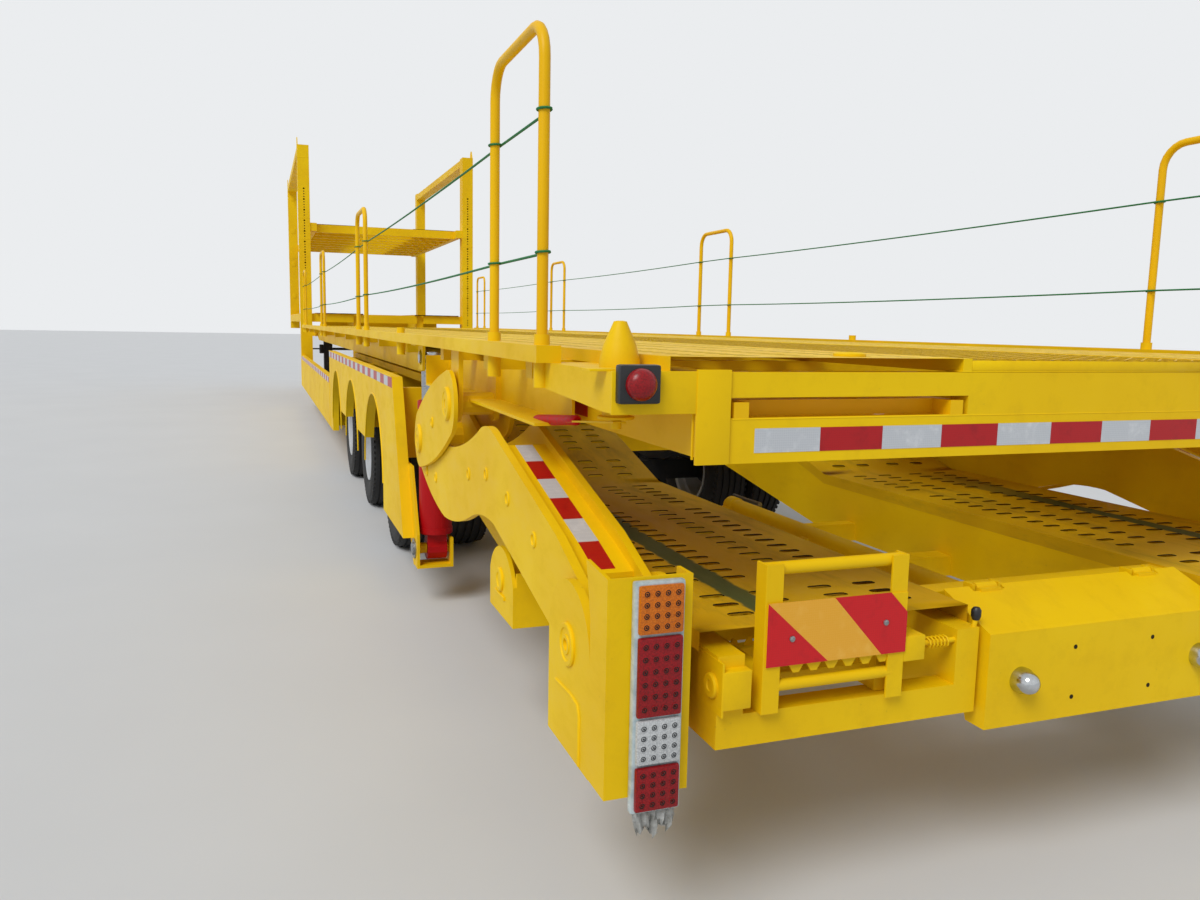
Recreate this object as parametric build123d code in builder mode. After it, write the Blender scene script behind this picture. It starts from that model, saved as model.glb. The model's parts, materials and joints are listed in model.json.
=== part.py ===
from build123d import *
from math import cos, hypot, radians, sin
import os

os.makedirs("parts", exist_ok=True)

# Millimetres. X runs forward, Y to the left, Z up from the ground.
# The origin is on the ground, under the middle of the trailer.
overall_length = 17500
overall_width = 2550
half_width = overall_width / 2
lamp_depth = 35
sheet = 8
plate = 12
pin_gap = 0.05
seat_gap = 0.3
slide_gap = 6

left = 1
right = -1
sides = {"left": left, "right": right}


# x of a point that lies this far ahead of the lamp brackets at the tail.
def station(distance):
    return distance + lamp_depth - overall_length / 2


# The y span between two distances in from the side of the trailer.
def inboard(far, near=0):
    return (half_width - far, half_width - near)


# A box between two corners, for members that are plain rolled or folded sections.
def member(x, y, z, mode=Mode.ADD):
    with Locations(((x[0] + x[1]) / 2, (y[0] + y[1]) / 2, (z[0] + z[1]) / 2)):
        Box(x[1] - x[0], y[1] - y[0], z[1] - z[0], mode=mode)


# The same member on the left and on the right.
def pair(x, y, z, mode=Mode.ADD):
    member(x, y, z, mode)
    member(x, (-y[1], -y[0]), z, mode)


# A cross member that stops at the beams: a middle piece, and one on each side in each bay.
def cross_member(x, middle, bays, z):
    member(x, (-middle, middle), z)
    for bay in bays:
        pair(x, bay, z)


# A vertical plate that stands in the fore-and-aft plane: its outline is drawn at y and it is
# made thick towards the right of the trailer.
def upright(points, y, thickness, mode=Mode.ADD):
    with BuildSketch(Plane.XZ.offset(-y)) as outline:
        with BuildLine():
            Polyline(*points, close=True)
        make_face()
    extrude(outline.sketch, amount=thickness, mode=mode)


# A circle, or a regular polygon where a round form is made in few faces. The polygon's flats
# lie on the circle, as a bore's or a tyre's must, or its corners do, as a shaft's must. A
# shaft's corners then meet the middles of its bore's flats.
def round_outline(radius, sides_count=0, corners_out=False):
    if sides_count:
        turn = 0 if corners_out else 180 / sides_count
        RegularPolygon(radius, sides_count, major_radius=corners_out, rotation=turn)
    else:
        Circle(radius)


# A round bar or bore along Y.
def crossbar(x, z, y, radius, sides_count=0, mode=Mode.ADD, corners_out=False):
    with BuildSketch(Plane.XZ.offset(-y[1])) as outline:
        with Locations((x, z)):
            round_outline(radius, sides_count, corners_out)
    extrude(outline.sketch, amount=y[1] - y[0], mode=mode)


# A round bar or bore along Z.
def upright_bar(x, y, z, radius, sides_count=0, mode=Mode.ADD):
    with BuildSketch(Plane.XY.offset(z[0])) as outline:
        with Locations((x, y)):
            round_outline(radius, sides_count)
    extrude(outline.sketch, amount=z[1] - z[0], mode=mode)


def save(piece, name):
    piece.part.label = name
    export_step(piece.part, f"parts/{name}.step")


# A piece and its mirror image on the other side of the trailer, saved as one node.
def save_both_sides(piece, name):
    with BuildPart() as both:
        add(piece.part)
        mirror(piece.part, about=Plane.XZ)
    save(both, name)


# A piece made on the left, saved there and mirrored to the right as a node of its own.
def save_each_side(piece, name):
    save(piece, f"{name}_left")
    with BuildPart() as mirrored:
        mirror(piece.part, about=Plane.XZ)
    save(mirrored, f"{name}_right")


# How many flats stand for a round form.
tyre_sides = 20
rim_sides = 14
barrel_sides = 14
boss_sides = 12
hub_sides = 8
tube_sides = 6

# Wheels: 235/75 R17.5 twins on three axles.
tyre_radius = 395
tyre_width = 235
tyre_shoulder = 45
rim_radius = 224
rim_wall = 12
twin_pitch = 265
twin_centre = half_width - 347
disc_half = 13
hub_radius = 105
hub_length = 300
spindle_radius = 40
axle_half = 60
rear_axle_setback = 3780
axle_pitch = 1310
axle_stations = [rear_axle_setback + axle_pitch * count for count in range(3)]
axle_names = ["rear", "middle", "front"]

# Chassis beams and leaf springs.
frame_beam = (384, 484)
frame_bottom = 620
frame_top = 960
section_rear = 2990
section_cross_length = 80
leaf_half_length = 520
leaf_width = 70
leaf_stack = 48
leaf_rise = 90
leaf_drop = 20
clamp_half = 45
hanger_half = 28
hanger_drop = 60

# Side frames: the skirt over the wheels and the low rail of the well.
skirt_rear_foot = 2640
skirt_rear_top = 2970
skirt_bottom = 300
skirt_top = 1015
skirt_front = 7170
tongue_bottom = 580
arch_radius = 435
arch_centre = 440
rail_bottom = 330
rail_top = 780
well_front = 12900
lip_depth = 50
cross_end = half_width - sheet
well_cross_count = 7
well_cross_length = 60
well_floor_drop = 20
floor_top = rail_bottom + 120

# Runways that carry the cars on the lower level.
runway = (384, half_width - 222)
runway_top = 665
runway_break = 1800
runway_sheet = 5
runway_flange = 40
wheel_deck_top = frame_top + runway_flange

# Tail beams, and the seats of the lift arms on them.
tail_bottom = 430
tail_side = inboard(305, 245)
tail_inner = (384, 444)
beam_top = runway_top - runway_flange
ramp_bottom = 500
cross_top = ramp_bottom - seat_gap
arm_seat = inboard(85, 73)
arm_seat_x = (960, 1240)
arm_seat_bottom = 400
arm_seat_end = 560
arm_seat_shoulder = 520
arm_seat_top = 610

# Loading ramps and tail cover.
ramp_rails = (half_width - 675, half_width - 375)
ramp_rail_width = 40
ramp_rail_depth = 80
ramp_length = 1900
ramp_frame_top = 810
rung_count = 8
rung_pitch = 155
board_height = (600, 730)
board_sheet = 6
cover_hinge = (160, 670)
cover_half = 370
cover_sheet = 5
cover_break = 612
cover_foot = 392
cover_lip = 60
cover_hinges = (-250, 250)
hinge_half = 30
hinge_pin_radius = 6
knuckle_radius = 11
cover_lamp_side = 277
cover_lamp_height = 500
cover_lamp_radius = 40

# Rear post, with the pivot of the lift arm between its cheeks.
pivot_station = 228
pivot_height = 607
cheek_radius = 137
cheek_bottom = 370
cheek_outer = inboard(19)
cheek_inner = inboard(219, 201)
pivot_pin_radius = 30
bracket_width = 175
bracket_height = (372, 806)
bracket_inner_depth = 60
lamp_side = inboard(151, 48)
lamp_housing_depth = 20

# Lift arm, with the pin of the disc link at its shoulder.
arm_outer = inboard(49, 27)
arm_inner = inboard(195, 175)
arm_end_radius = 120
shoulder_station = 2200
shoulder_height = 810
shoulder_radius = 150
web_sheet = 12
spacer_radius = 14
sleeve_wall = 22

# Disc link, between the arm's shoulder and the ears of the upper deck.
ear_station = 1600
ear_height = 1000
link_outer = inboard(21, 7)
link_inner = inboard(216, 201)
link_end_radius = 115
link_bulge = 138
link_pin_radius = 40
link_boss_radius = 52

# Upper deck.
deck_rear = 90
deck_front = 12600
deck_edge_front = 12560
deck_edge_rear = 490
deck_top = 1225
edge_depth = 40
under_deck = deck_top - edge_depth
edge_rail = inboard(60)
deck_beam = inboard(290, 225)
deck_beam_depth = 173
deck_sheet = 6
deck_sheet_drop = 10
deck_cross_depth = 48
deck_cross_length = 60
deck_cross_bottom = under_deck - deck_cross_depth
rear_crosses = [700, 1180, 1900]
front_cross_first = 2800
front_cross_pitch = 1080
front_cross_count = 10
deck_runway = (400, half_width - 155)
rear_bar = (1000, 1090)
rear_bar_depth = 60
slot_top = 1128
slot_side = (403, deck_beam[0] - 8)
extension_length = 800
extension_tube = 34
extension_gap = 7
corner_bottom = 1105
corner_side = half_width - 35
corner_length = 460
cone_station = 235
cone_side = half_width - 105
cone_radius = 40
cone_foot = 15
cone_height = 95
cone_taper = 20
deck_lamp_side = inboard(125, 40)
deck_lamp_height = (1125, 1200)
deck_lamp_depth = 28
pocket_beam = inboard(185, 75)
pocket_station = (760, 2445)
pocket_bottom = 1010
ear_inner = (pocket_beam[0] + sheet, pocket_beam[0] + sheet + 16)
ear_outer = inboard(49, 33)
ear_radius = 62
ear_tube_radius = 38.5

# Deck hoops.
hoop_tube = 13.5
hoop_width = 475
hoop_top = 1990
hoop_bend = 75
hoop_bend_steps = 4
hoop_side = half_width - 32
hoop_first = 792
hoop_pitch = 3800
hoop_count = 4

# Hinge of the upper deck.
hinge_station = 12740
hinge_height = 1120
hinge_shaft_radius = 35
hinge_lug_radius = 60
hinge_lug_chamfer = 42
hinge_plate = 25
hinge_plate_gap = 10
hinge_tube_length = 80

# Gantry.
column_depth = 200
column = inboard(160)
column_wall = 8
front_column_station = 17265
column_top = 3780
guide_rise = 110
guide_foot_inset = 20
guide_tip_half = 20
lock_hole_radius = 14
lock_hole_pitch = 150
lock_hole_rows = 12
lock_hole_first = 1520
gantry_rail_drop = 20
gantry_rail_depth = 100

# Gooseneck and coupling.
coupler_height = 1130
coupler_plate_thickness = 12
coupler_plate_size = 1040
coupler_plate_corner = 60
neck_beam = (420, 520)
neck_beam_bottom = coupler_height + coupler_plate_thickness
neck_beam_top = 1388
neck_deck_top = 1400
neck_cross_depth = 120
neck_cross_length = 80
neck_cross_count = 6
sill_depth = 60
sill_height = 120
kingpin_setback = 900
kingpin_radius = 25.4
kingpin_collar = 36.5
kingpin_length = 84
kingpin_head = 14
kingpin_neck = 35
leg_station = 14100
leg_side = half_width - 455
leg_half = 65
leg_wall = 12
leg_sleeve_bottom = 420
leg_shaft_drop = 300
leg_shaft_radius = 20
foot_half = 125
foot_thickness = 30

# Lift cylinders of the upper deck.
cylinder_station = 2620
cylinder_side = half_width - 145
cylinder_foot = 255
barrel_radius = 72
barrel_bottom = 325
barrel_top = 930
barrel_floor = 30
stage_radius = 58
stage_floor = 20
stage_top = 1060
rod_radius = 42
cylinder_eye = 1122
cylinder_gap = 0.5
pin_radius = 25
open_pivot_gap = 9
eye_half = 44
eye_neck_half = 40
foot_eye_radius = 50
rod_eye_radius = 44
rod_pin_half = 72
rod_bracket_half = 52
rod_bracket_length = 60
rod_bracket_foot = 50
rod_bracket_drop = 55
foot_plate_side = half_width - 213
foot_bracket_side = half_width - lip_depth
foot_base = (176, 190)

# Front platform.
platform_top = 2700
platform_beam = 120
platform_beam_width = 80
platform_cross_length = 70
platform_cross_count = 9
platform_gap = 12
shoe_gap = 0.5

# Twin wheels: a pair of tyres, and one pressed wheel set with its hub.
for axle_name, setback in zip(axle_names, axle_stations):
    axle_x = station(setback)
    for side_name, side in sides.items():
        wheel_y = side * twin_centre
        with BuildPart() as tyres:
            for offset_y in (-twin_pitch / 2, twin_pitch / 2):
                near_y = wheel_y + offset_y - tyre_width / 2
                crossbar(axle_x, tyre_radius, (near_y, near_y + tyre_width), tyre_radius, tyre_sides)
            chamfer(tyres.edges().filter_by(lambda edge: abs(edge.tangent_at(0).Y) < 0.01), tyre_shoulder)
            crossbar(axle_x, tyre_radius, (-half_width, half_width), rim_radius, rim_sides, mode=Mode.SUBTRACT)
        save(tyres, f"tyres_{side_name}_{axle_name}")

        rim_half = (twin_pitch + tyre_width) / 2 - rim_wall
        rim_y = (wheel_y - rim_half, wheel_y + rim_half)
        hub_y = sorted((wheel_y - side * hub_length / 2, wheel_y + side * (hub_length / 2 + rim_wall)))
        # The bore is blind: the hub's cap closes its outer end.
        bore_y = sorted((wheel_y - side * (hub_length / 2 + 1), wheel_y + side * hub_length / 2))
        with BuildPart() as wheels:
            crossbar(axle_x, tyre_radius, rim_y, rim_radius - seat_gap, rim_sides)
            crossbar(axle_x, tyre_radius, rim_y, rim_radius - rim_wall, rim_sides, mode=Mode.SUBTRACT)
            crossbar(axle_x, tyre_radius, (wheel_y - disc_half, wheel_y + disc_half), rim_radius - rim_wall / 2,
                     rim_sides)
            crossbar(axle_x, tyre_radius, hub_y, hub_radius, hub_sides)
            crossbar(axle_x, tyre_radius, bore_y, spindle_radius + pin_gap, hub_sides, mode=Mode.SUBTRACT)
        save(wheels, f"wheels_{side_name}_{axle_name}")

# Axles: a square beam with two spindles, leaf stacks on top and the hangers at the leaf ends.
spring_middle = (frame_beam[0] + frame_beam[1]) / 2
leaf_top = frame_bottom - leaf_drop
leaf_crown = leaf_top - leaf_rise
beam_end = twin_centre - hub_length / 2 - slide_gap
spindle_end = twin_centre + hub_length / 2 - slide_gap
# The stack hangs in a shallow curve: shares of its half length, and of its rise.
leaf_bow = [(-1, 1), (-0.5, 0.25), (0, 0), (0.5, 0.25), (1, 1)]
with BuildPart() as axles:
    for setback in axle_stations:
        axle_x = station(setback)
        member((axle_x - axle_half, axle_x + axle_half), (-beam_end, beam_end),
               (tyre_radius - axle_half, tyre_radius + axle_half))
        crossbar(axle_x, tyre_radius, (-spindle_end, spindle_end), spindle_radius, hub_sides, corners_out=True)
        upper = [(axle_x + share * leaf_half_length, leaf_crown + rise * leaf_rise) for share, rise in leaf_bow]
        # Towards its ends the stack thins to a quarter of its depth.
        lower = [(x, z - leaf_stack * (1 - 0.75 * (z - leaf_crown) / leaf_rise)) for x, z in reversed(upper)]
        for middle_y in (spring_middle, -spring_middle):
            clamp_y = (middle_y - clamp_half, middle_y + clamp_half)
            upright(upper + lower, middle_y + leaf_width / 2, leaf_width)
            member((axle_x - axle_half, axle_x + axle_half), clamp_y,
                   (tyre_radius + axle_half, leaf_crown - leaf_stack))
            for end_x in (axle_x - leaf_half_length, axle_x + leaf_half_length):
                member((end_x - hanger_half, end_x + hanger_half), clamp_y, (leaf_top - hanger_drop, frame_bottom))
save(axles, "axles")

# Side frames: folded plates with a lip all round, cut out over the wheels.
with BuildSketch(Plane.XZ.offset(-half_width)) as skirt_outline:
    with BuildLine():
        Polyline((station(skirt_rear_foot), skirt_bottom), (station(skirt_rear_top), skirt_top),
                 (station(skirt_front), skirt_top), (station(skirt_front), rail_top),
                 (station(well_front), rail_top), (station(well_front), rail_bottom),
                 (station(axle_stations[2]), rail_bottom), (station(axle_stations[2]), skirt_bottom),
                 close=True)
    make_face()
    for setback in axle_stations:
        with Locations((station(setback), arch_centre)):
            Circle(arch_radius, mode=Mode.SUBTRACT)
        with Locations((station(setback), arch_centre / 2)):
            Rectangle(2 * arch_radius, arch_centre, mode=Mode.SUBTRACT)
    with Locations((station(axle_stations[1]), tongue_bottom / 2)):
        Rectangle(2 * axle_pitch, tongue_bottom, mode=Mode.SUBTRACT)
with BuildSketch(Plane.XZ.offset(-half_width + sheet)) as skirt_hollow:
    offset(skirt_outline.sketch.moved(Location((0, -sheet, 0))), amount=-sheet)
with BuildPart() as side_frame:
    extrude(skirt_outline.sketch, amount=lip_depth)
    extrude(skirt_hollow.sketch, amount=lip_depth, mode=Mode.SUBTRACT)
save_both_sides(side_frame, "side_frames")

# Longitudinal beams: level at the tail, deep over the wheels, and along the gooseneck with its
# side rails.
neck_rear = station(well_front)
neck_front = station(front_column_station + column_depth)
rise_foot = station(runway_break)
rise_head = station(section_rear)
section_front = station(skirt_front - section_cross_length / 2)
neck_cross_z = (neck_beam_top - neck_cross_depth, neck_beam_top)
with BuildPart() as chassis_beams:
    pair((station(20), rise_foot), tail_side, (tail_bottom, beam_top))
    pair((station(20), rise_foot), tail_inner, (tail_bottom, beam_top))
    pair((rise_head, section_front - section_cross_length), frame_beam, (frame_bottom, frame_top))
    pair((neck_rear + hinge_tube_length, neck_front), neck_beam, (neck_beam_bottom, neck_beam_top))
    pair((neck_rear + column_depth, neck_front - column_depth), column, neck_cross_z)
save(chassis_beams, "chassis_beams")

# Beams that rise from the level of the tail to the wheel section.
with BuildPart() as rising_beams:
    for beam in (tail_side, tail_inner):
        for outer_y in (beam[1], -beam[0]):
            upright([(rise_foot, beam_top), (rise_head, frame_top), (rise_head, frame_bottom),
                     (rise_foot, tail_bottom)], outer_y, beam[1] - beam[0])
save(rising_beams, "rising_beams")

# Cross members of the chassis.
with BuildPart() as chassis_cross_members:
    # Under the ramps, by their near station and length.
    for near, length in [(260, 80), (1000, 80), (1560, 60)]:
        cross_member((station(near), station(near + length)), tail_inner[0], [(tail_inner[1], tail_side[0])],
                     (tail_bottom, cross_top))
    pair((station(20), station(80)), (tail_inner[1], tail_side[0]), (tail_bottom, cross_top))
    pair((station(260), station(340)), (tail_side[1], cheek_inner[0]), (tail_bottom, cross_top))
    # Over the wheels, the last one down to the floor of the well.
    for near in [section_rear] + [setback + (axle_pitch - section_cross_length) / 2 for setback in axle_stations[:2]]:
        cross_member((station(near), station(near + section_cross_length)), frame_beam[0],
                     [(frame_beam[1], cross_end)], (frame_bottom, frame_top))
    member((section_front - section_cross_length, section_front), (-cross_end, cross_end),
           (rail_bottom + well_floor_drop, frame_top))
    # Under the floor of the well.
    well_pitch = (neck_rear - section_front - 3 * well_cross_length) / (well_cross_count - 1)
    for count in range(well_cross_count):
        near_x = section_front + well_cross_length + count * well_pitch
        member((near_x, near_x + well_cross_length), (-cross_end, cross_end),
               (rail_bottom + well_floor_drop, floor_top - well_floor_drop))
    # Along the gooseneck, and the deep one that carries the landing legs.
    neck_pitch = (neck_front - neck_rear - 2 * neck_cross_length) / (neck_cross_count - 1)
    for count in range(neck_cross_count):
        near_x = neck_rear + neck_cross_length / 2 + count * neck_pitch
        cross_member((near_x, near_x + neck_cross_length), neck_beam[0], [(neck_beam[1], column[0])], neck_cross_z)
    cross_member((station(leg_station) - leg_half - 25, station(leg_station) + leg_half + 25), neck_beam[0],
                 [(neck_beam[1], leg_side + leg_half + 25)], (neck_beam_bottom, neck_beam_top))
save(chassis_cross_members, "chassis_cross_members")

# Runways of the lower level: folded plates over the wheels, and flat ones in the well and on
# the gooseneck.
with BuildPart() as lower_runways:
    wheel_deck_x = (rise_head, section_front)
    pair(wheel_deck_x, runway, (wheel_deck_top - runway_sheet, wheel_deck_top))
    pair(wheel_deck_x, (runway[0], runway[0] + sheet), (frame_top, wheel_deck_top))
    pair(wheel_deck_x, (runway[1] - sheet, runway[1]), (frame_top, wheel_deck_top))
    pair((section_front, neck_rear), runway, (floor_top - well_floor_drop, floor_top))
    pair((neck_rear, neck_front), runway, (neck_beam_top, neck_deck_top))
save(lower_runways, "lower_runways")

# Tail runways: folded plates, level at the tail and sloping up to the wheel section.
with BuildPart() as tail_runways:
    top_line = [(station(60), runway_top), (rise_foot, runway_top), (rise_head, wheel_deck_top)]
    under_line = [(x, z - runway_sheet) for x, z in reversed(top_line)]
    foot_line = [(x, z - runway_flange) for x, z in reversed(top_line)]
    width = runway[1] - runway[0]
    for outer_y in (runway[1], -runway[0]):
        upright(top_line + under_line, outer_y, width)
        upright(top_line + foot_line, outer_y, sheet)
        upright(top_line + foot_line, outer_y - width + sheet, sheet)
save(tail_runways, "tail_runways")

# Long cylinder tube that lies in the gap between the tail runways, on three saddles.
tail_tube_y = 160
tail_tube_z = beam_top - 30
tail_tube_radius = 30
with BuildPart() as tail_cylinder:
    with BuildSketch(Plane.YZ.offset(station(260))):
        with Locations((tail_tube_y, tail_tube_z)):
            round_outline(tail_tube_radius, boss_sides)
    extrude(amount=1360)
    for near in (280, 1010, 1570):
        member((station(near), station(near + 40)), (tail_tube_y - 40, tail_tube_y + 40), (ramp_bottom, tail_tube_z))
save(tail_cylinder, "tail_cylinder")

# Seats of the lift arms: a channel out from each side beam, with a round-topped lug.
seat_x = (station(arm_seat_x[0]), station(arm_seat_x[1]))
with BuildPart() as arm_rest:
    member(seat_x, (tail_side[1], arm_seat[0]), (arm_seat_bottom, arm_seat_bottom + plate))
    member((seat_x[0], seat_x[0] + plate), (tail_side[1], arm_seat[0]), (arm_seat_bottom, arm_seat_end))
    member((seat_x[1] - plate, seat_x[1]), (tail_side[1], arm_seat[0]), (arm_seat_bottom, arm_seat_end))
    with BuildSketch(Plane.XZ.offset(-arm_seat[1])):
        with BuildLine():
            Polyline((seat_x[1], arm_seat_shoulder), (seat_x[1], arm_seat_bottom), (seat_x[0], arm_seat_bottom),
                     (seat_x[0], arm_seat_shoulder))
            ThreePointArc((seat_x[0], arm_seat_shoulder), (sum(seat_x) / 2, arm_seat_top),
                          (seat_x[1], arm_seat_shoulder))
        make_face()
    extrude(amount=arm_seat[1] - arm_seat[0])
save_both_sides(arm_rest, "arm_seats")

# Carrier of the cover's hinges, with the pins between their ears.
cover_x = station(cover_hinge[0])
ear_gap = 4
ear_sheet = 8
with BuildPart() as cover_carrier:
    member((cover_x + 22, cover_x + 82), (-tail_inner[0], tail_inner[0]), (beam_top - 65, beam_top + 35))
    for hinge_y in cover_hinges:
        for near_y in (hinge_y - hinge_half - ear_gap - ear_sheet, hinge_y + hinge_half + ear_gap):
            member((cover_x - 10, cover_x + 22), (near_y, near_y + ear_sheet),
                   (cover_hinge[1] - 12, cover_hinge[1] + 10))
        pin_half = hinge_half + ear_gap + ear_sheet
        crossbar(cover_x, cover_hinge[1], (hinge_y - pin_half, hinge_y + pin_half), hinge_pin_radius, boss_sides,
                 corners_out=True)
save(cover_carrier, "cover_carrier")

# Rear posts: two cheeks with a base box between them, the pivot pin and the lamp bracket.
pivot_x = station(pivot_station)
with BuildPart() as rear_post:
    for cheek in (cheek_outer, cheek_inner):
        with BuildSketch(Plane.XZ.offset(-cheek[1])):
            with Locations((pivot_x, pivot_height)):
                Circle(cheek_radius)
            with Locations((pivot_x, (cheek_bottom + pivot_height) / 2)):
                Rectangle(2 * cheek_radius, pivot_height - cheek_bottom)
        extrude(amount=cheek[1] - cheek[0])
    base_top = pivot_height - arm_end_radius - slide_gap
    member((pivot_x - cheek_radius, pivot_x + cheek_radius), (cheek_inner[1], cheek_outer[0]),
           (cheek_bottom, base_top))
    crossbar(pivot_x, pivot_height, (cheek_inner[1], cheek_outer[0]), pivot_pin_radius, boss_sides,
             corners_out=True)
    bracket_inner = half_width - bracket_width
    member((station(0), station(sheet)), (bracket_inner, half_width), bracket_height)
    member((station(0), station(bracket_inner_depth)), (bracket_inner, bracket_inner + sheet), bracket_height)
    upright([(station(0), bracket_height[0]), (pivot_x - cheek_radius, bracket_height[0]),
             (pivot_x - cheek_radius, 700), (station(120), bracket_height[1] + 10),
             (station(0), bracket_height[1])], half_width, sheet)
save_both_sides(rear_post, "rear_posts")

# Rear lamp clusters: four lenses on one housing, listed by their bottoms and tops.
with BuildPart() as rear_lamp:
    member((station(-lamp_housing_depth), station(0)), lamp_side, (345, 802))
    for bottom, top in [(352, 440), (446, 534), (540, 696), (702, 796)]:
        member((station(-lamp_depth), station(-lamp_housing_depth)), (lamp_side[0] + 5, lamp_side[1] - 5),
               (bottom, top))
save_both_sides(rear_lamp, "rear_lamps")

# Lift arms: two profiled plates with a sunk web, tube spacers and a sleeve on the pivot pin.
# Points of the profile as stations and heights, from the tail end over the hump and saddle to
# the shoulder, and back under the arm through its lobe.
shoulder_x = station(shoulder_station)
arm_nose = [(410, 800), (1010, 960)]
arm_hump = [(1110, 974), (1210, 948)]
arm_saddle = [(1500, 866), (1760, 838)]
arm_lobe = [(2340, 705), (2000, 601), (1770, 573), (1560, 597), (1340, 655)]
arm_belly = [(1190, 694), (1010, 702), (424, 573)]
spacers = [(852, 804), (1351, 795), (1939, 690)]
web_top = [(300, 733), (410, 770), (1000, 930)]
with BuildSketch() as arm_face:
    with BuildLine():
        nose = [(station(distance), height) for distance, height in arm_nose]
        hump = [(station(distance), height) for distance, height in arm_hump]
        saddle = [(station(distance), height) for distance, height in arm_saddle]
        lobe = [(station(distance), height) for distance, height in arm_lobe]
        belly = [(station(distance), height) for distance, height in arm_belly]
        end_top = (pivot_x - arm_end_radius * sin(radians(38.3)), pivot_height + arm_end_radius * cos(radians(38.3)))
        end_bottom = (pivot_x + 20, pivot_height - arm_end_radius * 0.985)
        shoulder_rear = (shoulder_x - 70, shoulder_height + shoulder_radius - 17)
        shoulder_crest = (shoulder_x + shoulder_radius * 0.707, shoulder_height + shoulder_radius * 0.707)
        shoulder_front = (shoulder_x + shoulder_radius, shoulder_height - 30)
        Polyline(end_top, *nose)
        ThreePointArc(nose[1], *hump)
        ThreePointArc(hump[1], *saddle)
        Line(saddle[1], shoulder_rear)
        ThreePointArc(shoulder_rear, shoulder_crest, shoulder_front)
        Line(shoulder_front, lobe[0])
        ThreePointArc(lobe[0], lobe[1], lobe[2])
        ThreePointArc(lobe[2], lobe[3], lobe[4])
        ThreePointArc(lobe[4], belly[0], belly[1])
        Polyline(belly[1], belly[2], end_bottom)
        ThreePointArc(end_bottom, (pivot_x - arm_end_radius, pivot_height), end_top)
    make_face()
with BuildPart() as lift_arm:
    for cheek in (arm_outer, arm_inner):
        with BuildSketch(Plane.XZ.offset(-cheek[1])):
            add(arm_face.sketch)
        extrude(amount=cheek[1] - cheek[0])
    web_y = (arm_inner[1], arm_outer[0])
    web_line = [(station(distance), height) for distance, height in web_top]
    upright(web_line + [(x, z - web_sheet) for x, z in reversed(web_line)], web_y[1], web_y[1] - web_y[0])
    for spacer_station, spacer_height in spacers:
        crossbar(station(spacer_station), spacer_height, web_y, spacer_radius, tube_sides)
    # Sleeves and bores, by centre and by the pin that turns in them.
    through_y = (arm_inner[0] - 1, arm_outer[1] + 1)
    for x, z, pin in [(pivot_x, pivot_height, pivot_pin_radius), (shoulder_x, shoulder_height, link_pin_radius)]:
        crossbar(x, z, web_y, pin + sleeve_wall, boss_sides)
        crossbar(x, z, through_y, pin + pin_gap, boss_sides, mode=Mode.SUBTRACT)
save_each_side(lift_arm, "lift_arm")

# Disc links: two oval plates on the shoulder pin, with bosses for both pins.
ear_x = station(ear_station)
link_run = (ear_x - shoulder_x, ear_height - shoulder_height)
link_length = hypot(*link_run)
along = (link_run[0] / link_length, link_run[1] / link_length)


# Points off the line between the pins, by the share of its length and the distance above it.
def link_point(share, rise):
    return (shoulder_x + link_run[0] * share + along[1] * rise,
            shoulder_height + link_run[1] * share - along[0] * rise)


link_tip = link_end_radius / link_length
with BuildPart() as disc_link:
    for cheek in (link_outer, link_inner):
        with BuildSketch(Plane.XZ.offset(-cheek[1])):
            with BuildLine():
                ThreePointArc(link_point(0, link_end_radius), link_point(0.5, link_bulge),
                              link_point(1, link_end_radius))
                ThreePointArc(link_point(1, link_end_radius), link_point(1 + link_tip, 0),
                              link_point(1, -link_end_radius))
                ThreePointArc(link_point(1, -link_end_radius), link_point(0.5, -link_bulge),
                              link_point(0, -link_end_radius))
                ThreePointArc(link_point(0, -link_end_radius), link_point(-link_tip, 0),
                              link_point(0, link_end_radius))
            make_face()
        extrude(amount=cheek[1] - cheek[0])
    crossbar(shoulder_x, shoulder_height, (link_inner[1], link_outer[0]), link_pin_radius, boss_sides,
             corners_out=True)
    crossbar(shoulder_x, shoulder_height, (link_outer[1], half_width), link_boss_radius, boss_sides)
    crossbar(ear_x, ear_height, (link_outer[1], half_width), link_boss_radius, boss_sides)
save_each_side(disc_link, "disc_link")

# Upper deck: its beams, which end in the hinge lugs, and the edge rails.
hinge_x = station(hinge_station)
beam_bottom = under_deck - deck_beam_depth
lug_top = hinge_height + hinge_lug_radius
with BuildPart() as deck_rail:
    upright([(station(deck_rear), under_deck), (station(deck_front), under_deck), (hinge_x, lug_top),
             (hinge_x + hinge_lug_chamfer, hinge_height + hinge_lug_chamfer), (hinge_x + hinge_lug_radius, hinge_height),
             (hinge_x + hinge_lug_chamfer, hinge_height - hinge_lug_chamfer), (hinge_x, hinge_height - hinge_lug_radius),
             (station(deck_front) - 120, beam_bottom), (station(deck_rear), beam_bottom)],
            deck_beam[1], deck_beam[1] - deck_beam[0])
    crossbar(hinge_x, hinge_height, deck_beam, hinge_shaft_radius + pin_gap, boss_sides, mode=Mode.SUBTRACT)
    member((station(deck_edge_rear), station(deck_edge_front)), edge_rail, (under_deck, deck_top))
save_both_sides(deck_rail, "deck_rails")

# Cross members of the upper deck: in the middle, and out from the beams to the edge rails.
front_crosses = [front_cross_first + front_cross_pitch * count for count in range(front_cross_count)]
with BuildPart() as deck_cross_members:
    for near in rear_crosses + front_crosses:
        cross_member((station(near), station(near + deck_cross_length)), deck_beam[0],
                     [(deck_beam[1], edge_rail[0] + 10)], (deck_cross_bottom, under_deck))
save(deck_cross_members, "deck_cross_members")

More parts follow.
